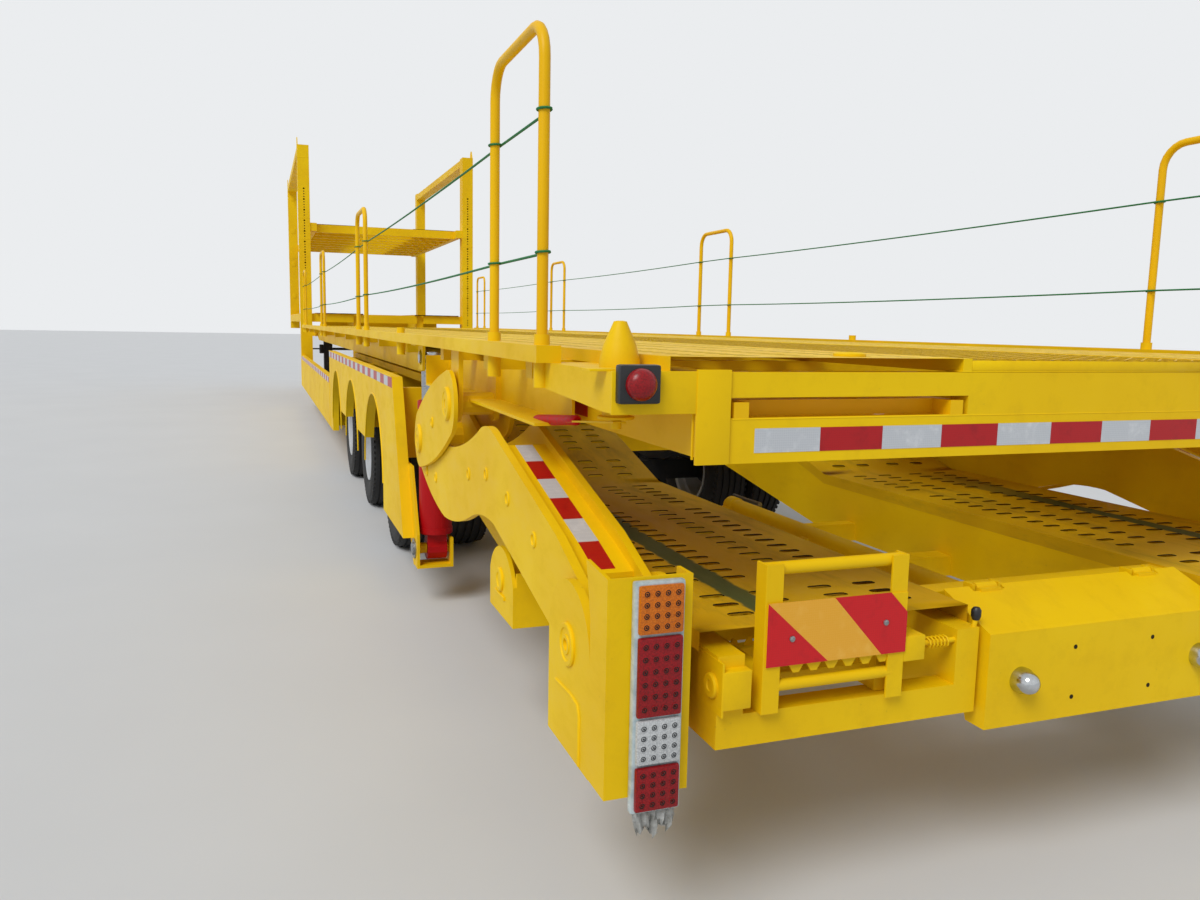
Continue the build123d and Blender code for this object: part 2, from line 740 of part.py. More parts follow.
# Rear bar of the upper deck, with the two slots that the extensions slide out of.
slot_lid = slot_top + slide_gap
slot_post = slot_side[0] - slide_gap
with BuildPart() as deck_rear_bar:
    rear_x = (station(deck_rear), station(deck_rear + rear_bar_depth))
    member(rear_x, (-deck_beam[0], deck_beam[0]), rear_bar)
    member(rear_x, (-deck_beam[0], deck_beam[0]), (slot_lid, under_deck))
    member(rear_x, (-slot_post, slot_post), (rear_bar[1], slot_lid))
save(deck_rear_bar, "deck_rear_bar")

# Deep pockets under the deck's edge: a channel that opens outwards, and the link ears with the
# tube between them.
pocket_x = (station(pocket_station[0]), station(pocket_station[1]))
with BuildPart() as deck_pocket:
    member(pocket_x, (pocket_beam[0], pocket_beam[0] + sheet), (pocket_bottom, deck_cross_bottom))
    member(pocket_x, pocket_beam, (pocket_bottom, pocket_bottom + sheet))
    member((pocket_x[1] - sheet, pocket_x[1]), pocket_beam, (pocket_bottom, deck_cross_bottom))
    for ear, ear_head in [(ear_inner, deck_cross_bottom), (ear_outer, under_deck)]:
        with BuildSketch(Plane.XZ.offset(-ear[1])):
            with Locations((ear_x, ear_height)):
                Circle(ear_radius)
            with Locations((ear_x, (ear_height + ear_head) / 2)):
                Rectangle(2 * ear_radius, ear_head - ear_height)
        extrude(amount=ear[1] - ear[0])
    crossbar(ear_x, ear_height, (ear_inner[1], ear_outer[0]), ear_tube_radius, boss_sides)
save_both_sides(deck_pocket, "deck_pockets")

# Rod brackets of the lift cylinders: two lugs under a head plate, with holes wider than the pin.
cylinder_x = station(cylinder_station)
lug_far = rod_bracket_half + plate
with BuildPart() as rod_bracket:
    member((cylinder_x - rod_bracket_length, cylinder_x + rod_bracket_length), (deck_beam[1], edge_rail[0] + 10),
           (under_deck - plate, under_deck))
    for outer_y in (cylinder_side - rod_bracket_half, cylinder_side + lug_far):
        upright([(cylinder_x - rod_bracket_length, under_deck), (cylinder_x + rod_bracket_length, under_deck),
                 (cylinder_x + rod_bracket_foot, cylinder_eye - rod_bracket_drop),
                 (cylinder_x - rod_bracket_foot, cylinder_eye - rod_bracket_drop)], outer_y, plate)
    crossbar(cylinder_x, cylinder_eye, (cylinder_side - lug_far - 1, cylinder_side + lug_far + 1),
             pin_radius + open_pivot_gap, boss_sides, mode=Mode.SUBTRACT)
save_both_sides(rod_bracket, "rod_brackets")

# Rear corner brackets, each with its guide cone.
corner_x = station(deck_rear)
with BuildPart() as corner_bracket:
    upright([(corner_x, under_deck), (corner_x + corner_length, under_deck),
             (corner_x + corner_length, corner_bottom + 20), (corner_x + 60, corner_bottom),
             (corner_x, corner_bottom)], corner_side, corner_side - deck_beam[1])
    upright_bar(station(cone_station), cone_side, (under_deck, under_deck + cone_foot), cone_radius, boss_sides)
    with BuildSketch(Plane.XY.offset(under_deck + cone_foot)):
        with Locations((station(cone_station), cone_side)):
            round_outline(cone_radius, boss_sides)
    extrude(amount=cone_height - cone_foot, taper=cone_taper)
save_both_sides(corner_bracket, "corner_brackets")

# Side lamps on the corner brackets: a box with a domed lens.
with BuildPart() as deck_lamp:
    member((corner_x - deck_lamp_depth, corner_x), deck_lamp_side, deck_lamp_height)
    with BuildSketch(Plane.YZ.offset(corner_x - deck_lamp_depth)):
        with Locations((sum(deck_lamp_side) / 2, sum(deck_lamp_height) / 2)):
            round_outline(32, boss_sides)
    extrude(amount=-24, taper=30)
save_both_sides(deck_lamp, "deck_lamps")

# Folded runway plates of the upper deck.
with BuildPart() as deck_runways:
    deck_x = (station(deck_rear), station(deck_front) - deck_sheet_drop)
    deck_surface = deck_top - deck_sheet_drop
    pair(deck_x, deck_runway, (deck_surface - deck_sheet, deck_surface))
    pair(deck_x, (deck_runway[0], deck_runway[0] + deck_sheet), (under_deck, deck_surface))
    pair(deck_x, (deck_runway[1] - deck_sheet, deck_runway[1]), (under_deck, deck_surface))
save(deck_runways, "deck_runways")

# Deck hoops: bent tubes that stand on the edge rails.
bend_z = hoop_top - hoop_tube - hoop_bend
hoop_foot = deck_top + seat_gap
bend_turns = [radians(90 / hoop_bend_steps * 2 * step) for step in range(hoop_bend_steps // 2 + 1)]
with BuildPart() as deck_hoop:
    for count in range(hoop_count):
        middle_x = station(hoop_first + hoop_pitch * count)
        half_span = hoop_width / 2
        # The bend, as steps in from the leg and up from the bend's foot.
        bend = [(hoop_bend * (1 - cos(turn)), hoop_bend * sin(turn)) for turn in bend_turns]
        rear_bend = [(middle_x - half_span + step_in, bend_z + rise) for step_in, rise in bend]
        front_bend = [(middle_x + half_span - step_in, bend_z + rise) for step_in, rise in reversed(bend)]
        with BuildLine(Plane.XZ.offset(-hoop_side)) as hoop_path:
            Polyline((middle_x - half_span, hoop_foot), *rear_bend, *front_bend, (middle_x + half_span, hoop_foot))
        with BuildSketch(Plane.XY.offset(hoop_foot)):
            with Locations((middle_x - half_span, hoop_side)):
                round_outline(hoop_tube, tube_sides)
        sweep(path=hoop_path.line, transition=Transition.RIGHT)
save_both_sides(deck_hoop, "deck_hoops")

# Deck extensions: frames of square tube that slide out of the slots in the rear face.
extension_x = (station(deck_rear), station(deck_rear + extension_length))
extension_y = (slot_side[0] + extension_gap, slot_side[1] - extension_gap + 8)
extension_z = (rear_bar[1] + seat_gap, rear_bar[1] + seat_gap + extension_tube)
with BuildPart() as deck_extension:
    member(extension_x, (extension_y[0], extension_y[0] + extension_tube), extension_z)
    member(extension_x, (extension_y[1] - extension_tube, extension_y[1]), extension_z)
    member((extension_x[1] - 50, extension_x[1]), extension_y, extension_z)
    member((extension_x[0] + 60, extension_x[0] + 100), extension_y, extension_z)
save_each_side(deck_extension, "deck_extension")

# Bulkhead at the front of the well: sill, posts, and the tube with the deck's hinge brackets.
with BuildPart() as bulkhead:
    member((neck_rear, neck_rear + sill_depth), (-column[0], column[0]), (rail_bottom, rail_bottom + sill_height))
    pair((neck_rear, neck_rear + column_depth), neck_beam, (rail_bottom, neck_beam_bottom))
    member((neck_rear, neck_rear + hinge_tube_length), (-column[0], column[0]),
           (hinge_height - hinge_lug_radius, hinge_height + hinge_lug_radius))
    bracket_outline = [(neck_rear, hinge_height - hinge_lug_radius), (neck_rear, hinge_height + hinge_lug_radius),
                       (hinge_x, hinge_height + hinge_lug_radius), (hinge_x - hinge_lug_radius, hinge_height),
                       (hinge_x, hinge_height - hinge_lug_radius)]
    inner_plate = deck_beam[0] - hinge_plate_gap
    outer_plate = deck_beam[1] + hinge_plate_gap + hinge_plate
    for outer_y in (inner_plate, outer_plate, hinge_plate - inner_plate, hinge_plate - outer_plate):
        upright(bracket_outline, outer_y, hinge_plate)
    for shaft_y in ((inner_plate - hinge_plate, outer_plate), (-outer_plate, hinge_plate - inner_plate)):
        crossbar(hinge_x, hinge_height, shaft_y, hinge_shaft_radius, boss_sides, corners_out=True)
save(bulkhead, "bulkhead")

# Coupler plate and kingpin.
kingpin_x = neck_front - kingpin_setback
with BuildPart() as coupler_plate:
    with BuildSketch(Plane.XY.offset(coupler_height)):
        with Locations((kingpin_x, 0)):
            RectangleRounded(coupler_plate_size, coupler_plate_size, coupler_plate_corner)
    extrude(amount=coupler_plate_thickness)
save(coupler_plate, "coupler_plate")

with BuildPart() as kingpin:
    # Sections by radius, and depth of their bottom and top below the plate.
    for radius, bottom, top in [(kingpin_collar, kingpin_length, kingpin_length - kingpin_head),
                                (kingpin_radius, kingpin_length - kingpin_head, kingpin_neck),
                                (kingpin_collar, kingpin_neck, 0)]:
        upright_bar(kingpin_x, 0, (coupler_height - bottom, coupler_height - top), radius, rim_sides)
save(kingpin, "kingpin")

# Landing legs: outer box, inner leg and foot on each side, with the cross shaft between them.
leg_x = station(leg_station)
with BuildPart() as landing_legs:
    # Sections by half size, bottom and top.
    for half_size, bottom, top in [(leg_half, leg_sleeve_bottom, neck_beam_bottom),
                                   (leg_half - leg_wall, foot_thickness, leg_sleeve_bottom),
                                   (foot_half, 0, foot_thickness)]:
        pair((leg_x - half_size, leg_x + half_size), (leg_side - half_size, leg_side + half_size), (bottom, top))
    crossbar(leg_x, neck_beam_bottom - leg_shaft_drop, (-leg_side, leg_side), leg_shaft_radius, boss_sides)
save(landing_legs, "landing_legs")

# Gantry sides: two hollow columns with lock holes, their top rail and the pointed guide plates.
lock_hole_middle = lock_hole_first + (lock_hole_rows - 1) / 2 * lock_hole_pitch
gantry_rail_top = column_top - gantry_rail_drop
hollow_y = (column[0] + column_wall, column[1] - column_wall)
with BuildPart() as gantry_side:
    # Columns: station of the rear face, height of the foot.
    for rear_station, foot_height in [(well_front, rail_bottom), (front_column_station, neck_beam_bottom)]:
        column_x = (station(rear_station), station(rear_station) + column_depth)
        guide_middle = sum(column_x) / 2
        member(column_x, column, (foot_height, column_top))
        member((column_x[0] + column_wall, column_x[1] - column_wall), hollow_y,
               (foot_height + column_wall, column_top - column_wall), mode=Mode.SUBTRACT)
        upright([(column_x[0] + guide_foot_inset, column_top), (column_x[1] - guide_foot_inset, column_top),
                 (guide_middle + guide_tip_half, column_top + guide_rise),
                 (guide_middle - guide_tip_half, column_top + guide_rise)], column[1], plate)
    member((station(well_front) + column_depth, station(front_column_station)), column,
           (gantry_rail_top - gantry_rail_depth, gantry_rail_top))
    with BuildSketch(Plane.YZ.offset(station(well_front))):
        with Locations((sum(column) / 2, lock_hole_middle)):
            with GridLocations(1, lock_hole_pitch, 1, lock_hole_rows):
                RegularPolygon(lock_hole_radius, tube_sides)
    extrude(amount=column_wall, mode=Mode.SUBTRACT)
save_both_sides(gantry_side, "gantry_sides")

# Front platform: side beams, cross members and two runways, with shoes that run on the columns.
platform_x = (station(well_front) + column_depth + platform_gap, station(front_column_station) - platform_gap)
platform_reach = column[0] - platform_gap
platform_z = (platform_top - platform_beam, platform_top - deck_sheet)
platform_side = (platform_reach - platform_beam_width, platform_reach)
platform_pitch = (platform_x[1] - platform_x[0] - platform_cross_length) / (platform_cross_count - 1)
shoe_y = (platform_reach, column[0] - shoe_gap)
with BuildPart() as front_platform:
    pair((platform_x[0] - column_depth, platform_x[1] + column_depth), platform_side, platform_z)
    for count in range(platform_cross_count):
        near_x = platform_x[0] + count * platform_pitch
        member((near_x, near_x + platform_cross_length), (-platform_reach, platform_reach), platform_z)
    pair((platform_x[0] - column_depth, platform_x[0] - platform_gap), shoe_y, platform_z)
    pair((platform_x[1] + platform_gap, platform_x[1] + column_depth), shoe_y, platform_z)
save(front_platform, "front_platform")

with BuildPart() as platform_runways:
    pair(platform_x, (deck_runway[0], platform_reach), (platform_top - deck_sheet, platform_top))
save(platform_runways, "platform_runways")

# Lift cylinders: barrel on its foot pin, inner stage and rod.
barrel_bore = barrel_bottom + barrel_floor
stage_bottom = barrel_bore + cylinder_gap
stage_bore = stage_bottom + stage_floor
eye_y = (cylinder_side - eye_half, cylinder_side + eye_half)
with BuildPart() as cylinder_barrel:
    upright_bar(cylinder_x, cylinder_side, (barrel_bottom, barrel_top), barrel_radius, barrel_sides)
    upright_bar(cylinder_x, cylinder_side, (barrel_bore, barrel_top), stage_radius + cylinder_gap, barrel_sides,
                mode=Mode.SUBTRACT)
    crossbar(cylinder_x, cylinder_foot, eye_y, foot_eye_radius, boss_sides)
    member((cylinder_x - eye_neck_half, cylinder_x + eye_neck_half), eye_y, (cylinder_foot, barrel_bottom))
    crossbar(cylinder_x, cylinder_foot, eye_y, pin_radius + pin_gap, boss_sides, mode=Mode.SUBTRACT)
save_each_side(cylinder_barrel, "cylinder_barrel")

with BuildPart() as cylinder_stage:
    upright_bar(cylinder_x, cylinder_side, (stage_bottom, stage_top), stage_radius, barrel_sides)
    upright_bar(cylinder_x, cylinder_side, (stage_bore, stage_top), rod_radius + cylinder_gap, barrel_sides,
                mode=Mode.SUBTRACT)
save_each_side(cylinder_stage, "cylinder_stage")

with BuildPart() as cylinder_rod:
    upright_bar(cylinder_x, cylinder_side, (stage_bore + cylinder_gap, cylinder_eye), rod_radius, barrel_sides)
    crossbar(cylinder_x, cylinder_eye, eye_y, rod_eye_radius, boss_sides)
    crossbar(cylinder_x, cylinder_eye, (cylinder_side - rod_pin_half, cylinder_side + rod_pin_half), pin_radius,
             hub_sides)
save_each_side(cylinder_rod, "cylinder_rod")

# Foot brackets of the lift cylinders: a lug plate on the side frame and a plate on the inside.
# The lug's outline, as steps ahead of the pin and heights.
lug_outline = [(-70, 190), (40, 170), (240, 420), (240, 620), (90, 620), (-70, 330)]
inner_outline = [(-70, 190), (70, 190), (70, 310), (-70, 310)]
with BuildPart() as foot_bracket:
    upright([(cylinder_x + ahead, height) for ahead, height in lug_outline], foot_bracket_side, plate)
    upright([(cylinder_x + ahead, height) for ahead, height in inner_outline], foot_plate_side + plate, plate)
    member((cylinder_x - 70, cylinder_x + 40), (foot_plate_side, foot_bracket_side), foot_base)
    crossbar(cylinder_x, cylinder_foot, (foot_plate_side, foot_bracket_side), pin_radius, boss_sides,
             corners_out=True)
save_both_sides(foot_bracket, "foot_brackets")

# Loading ramps, stowed under the tail runways: rails, rungs, and the end frame with its board.
ramp_span = (ramp_rails[0], ramp_rails[1] + ramp_rail_width)
end_frame_x = (station(0), station(ramp_rail_width))
with BuildPart() as loading_ramp:
    for near_y in ramp_rails:
        rail_y = (near_y, near_y + ramp_rail_width)
        member((end_frame_x[1], station(ramp_length)), rail_y, (ramp_bottom, ramp_bottom + ramp_rail_depth))
        member(end_frame_x, rail_y, (ramp_bottom, ramp_frame_top))
    for count in range(rung_count):
        near_x = station(60) + rung_pitch * count
        member((near_x, near_x + 40), ramp_span, (ramp_bottom + 20, ramp_bottom + 60))
    member(end_frame_x, ramp_span, (ramp_frame_top - 35, ramp_frame_top))
    member((station(-board_sheet), station(0)), ramp_span, board_height)
save_both_sides(loading_ramp, "loading_ramps")

# Tail cover: the folded lid in the middle of the tail, notched round its hinges.
knuckle_y = hinge_half + 2 * ear_gap + ear_sheet
notch_length = 20
with BuildPart() as tail_cover:
    lid = [(cover_x - 2, cover_hinge[1] + 4), (station(0), cover_break), (station(0), cover_foot),
           (station(cover_lip), cover_foot)]
    lid_inside = [(station(cover_lip), cover_foot + cover_sheet), (station(cover_sheet), cover_foot + cover_sheet),
                  (station(cover_sheet), cover_break - 3), (cover_x - 2, cover_hinge[1] - 1)]
    upright(lid + lid_inside, cover_half, 2 * cover_half)
    for outer_y in (cover_half, cover_sheet - cover_half):
        upright([(cover_x - 6, cover_hinge[1]), (station(2), cover_break - 2), (station(2), cover_foot + 2),
                 (station(cover_lip), cover_foot + 2)], outer_y, cover_sheet)
    for hinge_y in cover_hinges:
        member((cover_x - notch_length, cover_x + 2), (hinge_y - knuckle_y, hinge_y + knuckle_y),
               (cover_hinge[1] - 20, cover_hinge[1] + 8), mode=Mode.SUBTRACT)
        member((cover_x - notch_length - 6, cover_x - 8), (hinge_y - hinge_half, hinge_y + hinge_half),
               (cover_hinge[1] - 8, cover_hinge[1] + 2))
        crossbar(cover_x, cover_hinge[1], (hinge_y - hinge_half, hinge_y + hinge_half), knuckle_radius, boss_sides)
        crossbar(cover_x, cover_hinge[1], (hinge_y - hinge_half - 1, hinge_y + hinge_half + 1),
                 hinge_pin_radius + pin_gap, boss_sides, mode=Mode.SUBTRACT)
save(tail_cover, "tail_cover")

# Two domed lamps on the tail cover.
with BuildPart() as cover_lamp:
    with BuildSketch(Plane.YZ.offset(station(0))):
        with Locations((cover_lamp_side, cover_lamp_height)):
            round_outline(cover_lamp_radius, boss_sides)
    extrude(amount=-24, taper=35)
save_both_sides(cover_lamp, "cover_lamps")
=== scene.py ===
import bpy
import bmesh
import json
from math import cos, hypot, pi, radians, sin
from mathutils import Matrix, Vector


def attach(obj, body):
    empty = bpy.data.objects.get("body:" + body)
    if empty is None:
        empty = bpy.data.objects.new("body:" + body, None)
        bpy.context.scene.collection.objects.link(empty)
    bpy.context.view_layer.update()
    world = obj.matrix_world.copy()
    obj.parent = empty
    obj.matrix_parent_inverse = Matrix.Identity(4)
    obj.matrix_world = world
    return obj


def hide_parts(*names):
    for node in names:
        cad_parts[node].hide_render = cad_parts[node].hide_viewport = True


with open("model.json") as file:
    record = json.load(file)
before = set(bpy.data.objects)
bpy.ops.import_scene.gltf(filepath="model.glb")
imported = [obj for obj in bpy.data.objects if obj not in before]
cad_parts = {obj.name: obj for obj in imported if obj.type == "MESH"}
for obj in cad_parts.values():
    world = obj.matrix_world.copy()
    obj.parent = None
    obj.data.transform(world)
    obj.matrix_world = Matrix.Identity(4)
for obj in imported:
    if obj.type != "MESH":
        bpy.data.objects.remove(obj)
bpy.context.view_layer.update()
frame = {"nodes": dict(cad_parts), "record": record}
nodes = frame["nodes"]
print("frame loaded:", len(nodes), "nodes")

# Metres. Stations are measured forward from the back of the lamp brackets.
middleStation = 8.715
halfWidth = 1.275
bothSides = (1, -1)
sideWords = ((1, "left"), (-1, "right"))
upward, backward = (0, 0, 1), (-1, 0, 0)


def at(station):
    return station - middleStation


def stationed(place):  # a place whose first number is a station
    return (at(place[0]), *place[1:])


def linear(code):  # sRGB hex to linear colour
    parts = [int(code[i:i + 2], 16) / 255 for i in (1, 3, 5)]
    return tuple(c / 12.92 if c <= 0.04045 else ((c + 0.055) / 1.055) ** 2.4 for c in parts) + (1.0,)


def perSize(millimetres):  # texture scale for a feature of this size
    return 1000 / millimetres


def rangeOf(low, high, outLow, outHigh):  # settings of a map range node
    return {"From Min": low, "From Max": high, "To Min": outLow, "To Max": outHigh}


def addNode(tree, kind, settings=None, links=None):  # gives the node's outputs
    node = tree.nodes.new("ShaderNode" + kind)
    for key, value in (settings or {}).items():
        if key == "stops":
            ramp = node.color_ramp
            while len(ramp.elements) < len(value):
                ramp.elements.new(0.5)
            for element, (place, colour) in zip(ramp.elements, value):
                element.position, element.color = place, linear(colour)
        elif isinstance(key, int) or key in node.inputs:
            node.inputs[key].default_value = value
        else:
            setattr(node, key, value)
    for key, source in (links or {}).items():
        tree.links.new(source, node.inputs[key])
    return node.outputs


def newMaterial(name, settings):  # also gives the object's own coordinates
    material = bpy.data.materials.new(name)
    material.use_nodes = True
    tree = material.node_tree
    shader = tree.nodes["Principled BSDF"]
    for key, value in settings.items():
        shader.inputs[key].default_value = value
    return material, tree, shader, addNode(tree, "TexCoord")["Object"]


def feed(tree, shader, sockets):
    for key, source in sockets.items():
        tree.links.new(source, shader.inputs[key])


# Enamel sprayed on welded steel: a clean strong colour with soft gloss, slight drifts of shade
# and dust, and the orange peel of the spray. IOR starts from 1.5 and is matched down, as the
# pale studio would wash out the long faces.
def sprayedEnamel(name, look):
    material, tree, shader, place = newMaterial(name, {"Metallic": 0.0, "IOR": 1.28})
    drift = addNode(tree, "TexNoise", {"Scale": perSize(650), "Detail": 3.0, "Roughness": 0.55}, {"Vector": place})
    shade = addNode(tree, "ValToRGB", {"stops": [(0.35, look["shade"]), (0.65, look["colour"])]},
                    {"Fac": drift["Fac"]})
    # Dust lies in streaks along the trailer: the pattern is drawn out along X.
    drawn = addNode(tree, "Mapping", {"Scale": (look.get("drawn", 0.5), 1.0, 1.0)}, {"Vector": place})
    dust = addNode(tree, "TexNoise", {"Scale": perSize(look.get("dustSize", 90)), "Detail": 7.0, "Roughness": 0.7},
                   {"Vector": drawn["Vector"]})["Fac"]
    reach = addNode(tree, "MapRange", rangeOf(0.5, 0.78, 0.0, look["dusty"]), {"Value": dust})["Result"]
    dusty = addNode(tree, "Mix", {"data_type": "RGBA", 7: linear(look["dust"])}, {0: reach, 6: shade["Color"]})
    # Flecks of grit and chips, 28 mm apart and coarser than the real ones, so that they show.
    flecks = addNode(tree, "TexVoronoi", {"Scale": perSize(28), "Randomness": 1.0}, {"Vector": place})
    spot = addNode(tree, "MapRange", rangeOf(0.11, 0.06, 0.0, 1.0), {"Value": flecks["Distance"]})
    rare = addNode(tree, "Math", {"operation": "MULTIPLY"}, {0: spot["Result"], 1: reach})
    final = addNode(tree, "Mix", {"data_type": "RGBA", 7: linear(look.get("fleck", "#6E5A2C"))},
                    {0: rare[0], 6: dusty[2]})
    rough = addNode(tree, "MapRange", rangeOf(0.3, 0.75, look["rough"], look["rough"] + 0.22), {"Value": dust})
    peel = addNode(tree, "TexNoise", {"Scale": perSize(6), "Detail": 2.0}, {"Vector": place})
    bump = addNode(tree, "Bump", {"Strength": 0.08, "Distance": 0.0006}, {"Height": peel["Fac"]})
    feed(tree, shader, {"Base Color": final[2], "Roughness": rough["Result"], "Normal": bump[0]})
    return material


enamelLooks = {
    "chromeYellowEnamel": {"colour": "#F5CC04", "shade": "#ECBE02", "dust": "#C79C1E", "dusty": 0.28, "rough": 0.44},
    "wornRunwayEnamel": {"colour": "#E2B80A", "shade": "#C99B08", "dust": "#86701F", "dusty": 0.8, "rough": 0.5,
        "drawn": 0.25, "dustSize": 140},
    "hoopTubeEnamel": {"colour": "#F6C404", "shade": "#EBB503", "dust": "#C8981A", "dusty": 0.15, "rough": 0.34},
    "redCylinderEnamel": {"colour": "#C40C14", "shade": "#AC080F", "dust": "#7A1A18", "dusty": 0.25, "rough": 0.38,
        "fleck": "#4A0A0C"},
    "blackChassisEnamel": {"colour": "#1E1F21", "shade": "#161718", "dust": "#4A4640", "dusty": 0.4, "rough": 0.4,
        "fleck": "#5A5650"},
    "silverWheelEnamel": {"colour": "#CDCFD1", "shade": "#BABDC0", "dust": "#8E8A84", "dusty": 0.45, "rough": 0.35,
        "fleck": "#77726A"}}
finishes = {name: sprayedEnamel(name, look) for name, look in enamelLooks.items()}

# Stripe of green dye that a strap has left along each tail runway, blurred up the slope.
greenStripe = {
    "side": 0.846, "halfWidth": 0.029, "widest": 0.075, "widens": (0.9, 1.5), "edge": 0.008, "ends": (0.15, 1.75),
    "fades": 1.1, "strength": 0.9, "frayed": 0.03, "colour": "#2E4A2C"}
stained = finishes["wornRunwayEnamel"].copy()
stained.name = "stainedRunwayEnamel"
finishes["stainedRunwayEnamel"] = stained
tree = stained.node_tree
shader = tree.nodes["Principled BSDF"]
spot = addNode(tree, "TexCoord")["Object"]
wander = addNode(tree, "TexNoise", {"Scale": perSize(60), "Detail": 6.0}, {"Vector": spot})["Fac"]
axes = addNode(tree, "SeparateXYZ", {}, {"Vector": spot})
side = addNode(tree, "Math", {"operation": "ABSOLUTE"}, {0: axes["Y"]})[0]
away = addNode(tree, "Math", {"operation": "SUBTRACT", 1: greenStripe["side"]}, {0: side})[0]
away = addNode(tree, "Math", {"operation": "ABSOLUTE"}, {0: away})[0]
frayed = addNode(tree, "Math", {"operation": "MULTIPLY_ADD", 1: greenStripe["frayed"], 2: -greenStripe["frayed"] / 2},
                 {0: wander})[0]
away = addNode(tree, "Math", {"operation": "ADD"}, {0: away, 1: frayed})[0]
widens = [at(station) for station in greenStripe["widens"]]
spread = addNode(tree, "MapRange", rangeOf(*widens, greenStripe["halfWidth"], greenStripe["widest"]),
                 {"Value": axes["X"]})["Result"]
soft = addNode(tree, "Math", {"operation": "ADD", 1: greenStripe["edge"]}, {0: spread})[0]
across = addNode(tree, "MapRange", {"To Min": 1.0, "To Max": 0.0},
                 {"Value": away, "From Min": spread, "From Max": soft})["Result"]
start, end = (at(station) for station in greenStripe["ends"])
fade = addNode(tree, "MapRange", rangeOf(at(greenStripe["fades"]), end, greenStripe["strength"], 0.0),
               {"Value": axes["X"]})["Result"]
begin = addNode(tree, "Math", {"operation": "GREATER_THAN", 1: start}, {0: axes["X"]})[0]
share = addNode(tree, "Math", {"operation": "MULTIPLY"}, {0: across, 1: fade})[0]
share = addNode(tree, "Math", {"operation": "MULTIPLY"}, {0: share, 1: begin})[0]
paint = shader.inputs["Base Color"].links[0].from_socket
green = addNode(tree, "Mix", {"data_type": "RGBA", 7: linear(greenStripe["colour"])}, {0: share, 6: paint})
feed(tree, shader, {"Base Color": green[2]})


# Retroreflective film: a flat colour under a clear skin, with a honeycomb of sealed cells.
def cellFilm(name, colour, pale):
    settings = {"Roughness": 0.38, "IOR": 1.4, "Coat Weight": 0.12, "Coat Roughness": 0.1}
    material, tree, shader, place = newMaterial(name, settings)
    # Cells are 3 mm on the real film; 5 mm here, so that they show.
    cells = addNode(tree, "TexVoronoi", {"Scale": perSize(5), "feature": "DISTANCE_TO_EDGE", "Randomness": 0.15},
                    {"Vector": place})
    wall = addNode(tree, "MapRange", rangeOf(0.0, 0.12, 1.0, 0.0), {"Value": cells["Distance"]})["Result"]
    wear = addNode(tree, "TexNoise", {"Scale": perSize(35), "Detail": 6.0, "Roughness": 0.65}, {"Vector": place})
    rubbed = addNode(tree, "MapRange", rangeOf(0.52, 0.7, 0.0, 0.55), {"Value": wear["Fac"]})
    share = addNode(tree, "Math", {"operation": "MULTIPLY", 1: 0.35}, {0: wall})
    share = addNode(tree, "Math", {"operation": "MAXIMUM"}, {0: share[0], 1: rubbed["Result"]})
    tint = addNode(tree, "Mix", {"data_type": "RGBA", 6: linear(colour), 7: linear(pale)}, {0: share[0]})
    bump = addNode(tree, "Bump", {"Strength": 0.15, "Distance": 0.0003}, {"Height": wall})
    feed(tree, shader, {"Base Color": tint[2], "Normal": bump[0]})
    return material


# Moulded acrylic lens: a deep clear colour with a prismatic back that breaks up the light.
def mouldedLens(name, colour, deep):
    material, tree, shader, place = newMaterial(name, {"Roughness": 0.28, "IOR": 1.42})
    prisms = addNode(tree, "TexVoronoi", {"Scale": perSize(3.5), "Randomness": 1.0}, {"Vector": place})["Distance"]
    depth = addNode(tree, "ValToRGB", {"stops": [(0.1, colour), (0.95, deep)]}, {"Fac": prisms})
    bump = addNode(tree, "Bump", {"Strength": 0.15, "Distance": 0.0005}, {"Height": prisms})
    feed(tree, shader, {"Base Color": depth["Color"], "Normal": bump[0]})
    return material


tonePairs = {
    cellFilm: {"redCellFilm": ("#B40A14", "#8E070E"), "silverCellFilm": ("#BFC3C8", "#E4E6E8"),
        "yellowCellFilm": ("#EBA92A", "#F3BE52"), "brightRedCellFilm": ("#D20E18", "#B00912")},
    mouldedLens: {"amberLens": ("#DC7606", "#B45A04"), "redLens": ("#A20A14", "#70040A"),
        "clearLens": ("#D0D2D2", "#A9ABAC"), "diodeCup": ("#3A1408", "#160604"),
        "paleDiodeCup": ("#55585A", "#2C2E30")}}
for makeFinish, pairs in tonePairs.items():
    finishes.update({name: makeFinish(name, *tones) for name, tones in pairs.items()})


# Moulded, turned, rolled and braided small parts share one set of nodes: two tones of one
# colour, drawn out along an axis, with a fine relief.
def plainFinish(name, look):
    settings = {"Metallic": look.get("metal", 0.0), "Roughness": look["rough"], "Coat Weight": look.get("coat", 0.0)}
    if "ior" in look:
        settings["IOR"] = look["ior"]
    material, tree, shader, place = newMaterial(name, settings)
    drawn = addNode(tree, "Mapping", {"Scale": look.get("drawn", (1.0, 1.0, 1.0))}, {"Vector": place})
    grain = addNode(tree, "TexNoise", {"Scale": perSize(look["grain"]), "Detail": 5.0, "Roughness": 0.6},
                    {"Vector": drawn["Vector"]})["Fac"]
    tone = addNode(tree, "ValToRGB", {"stops": [(0.35, look["dark"]), (0.7, look["colour"])]}, {"Fac": grain})
    rough = addNode(tree, "MapRange", rangeOf(0.3, 0.7, look["rough"] * 0.8, look["rough"] * 1.25), {"Value": grain})
    bump = addNode(tree, "Bump", {"Strength": look.get("relief", 0.1), "Distance": look["grain"] / 10000},
                   {"Height": grain})
    feed(tree, shader, {"Base Color": tone["Color"], "Roughness": rough["Result"], "Normal": bump[0]})
    return material


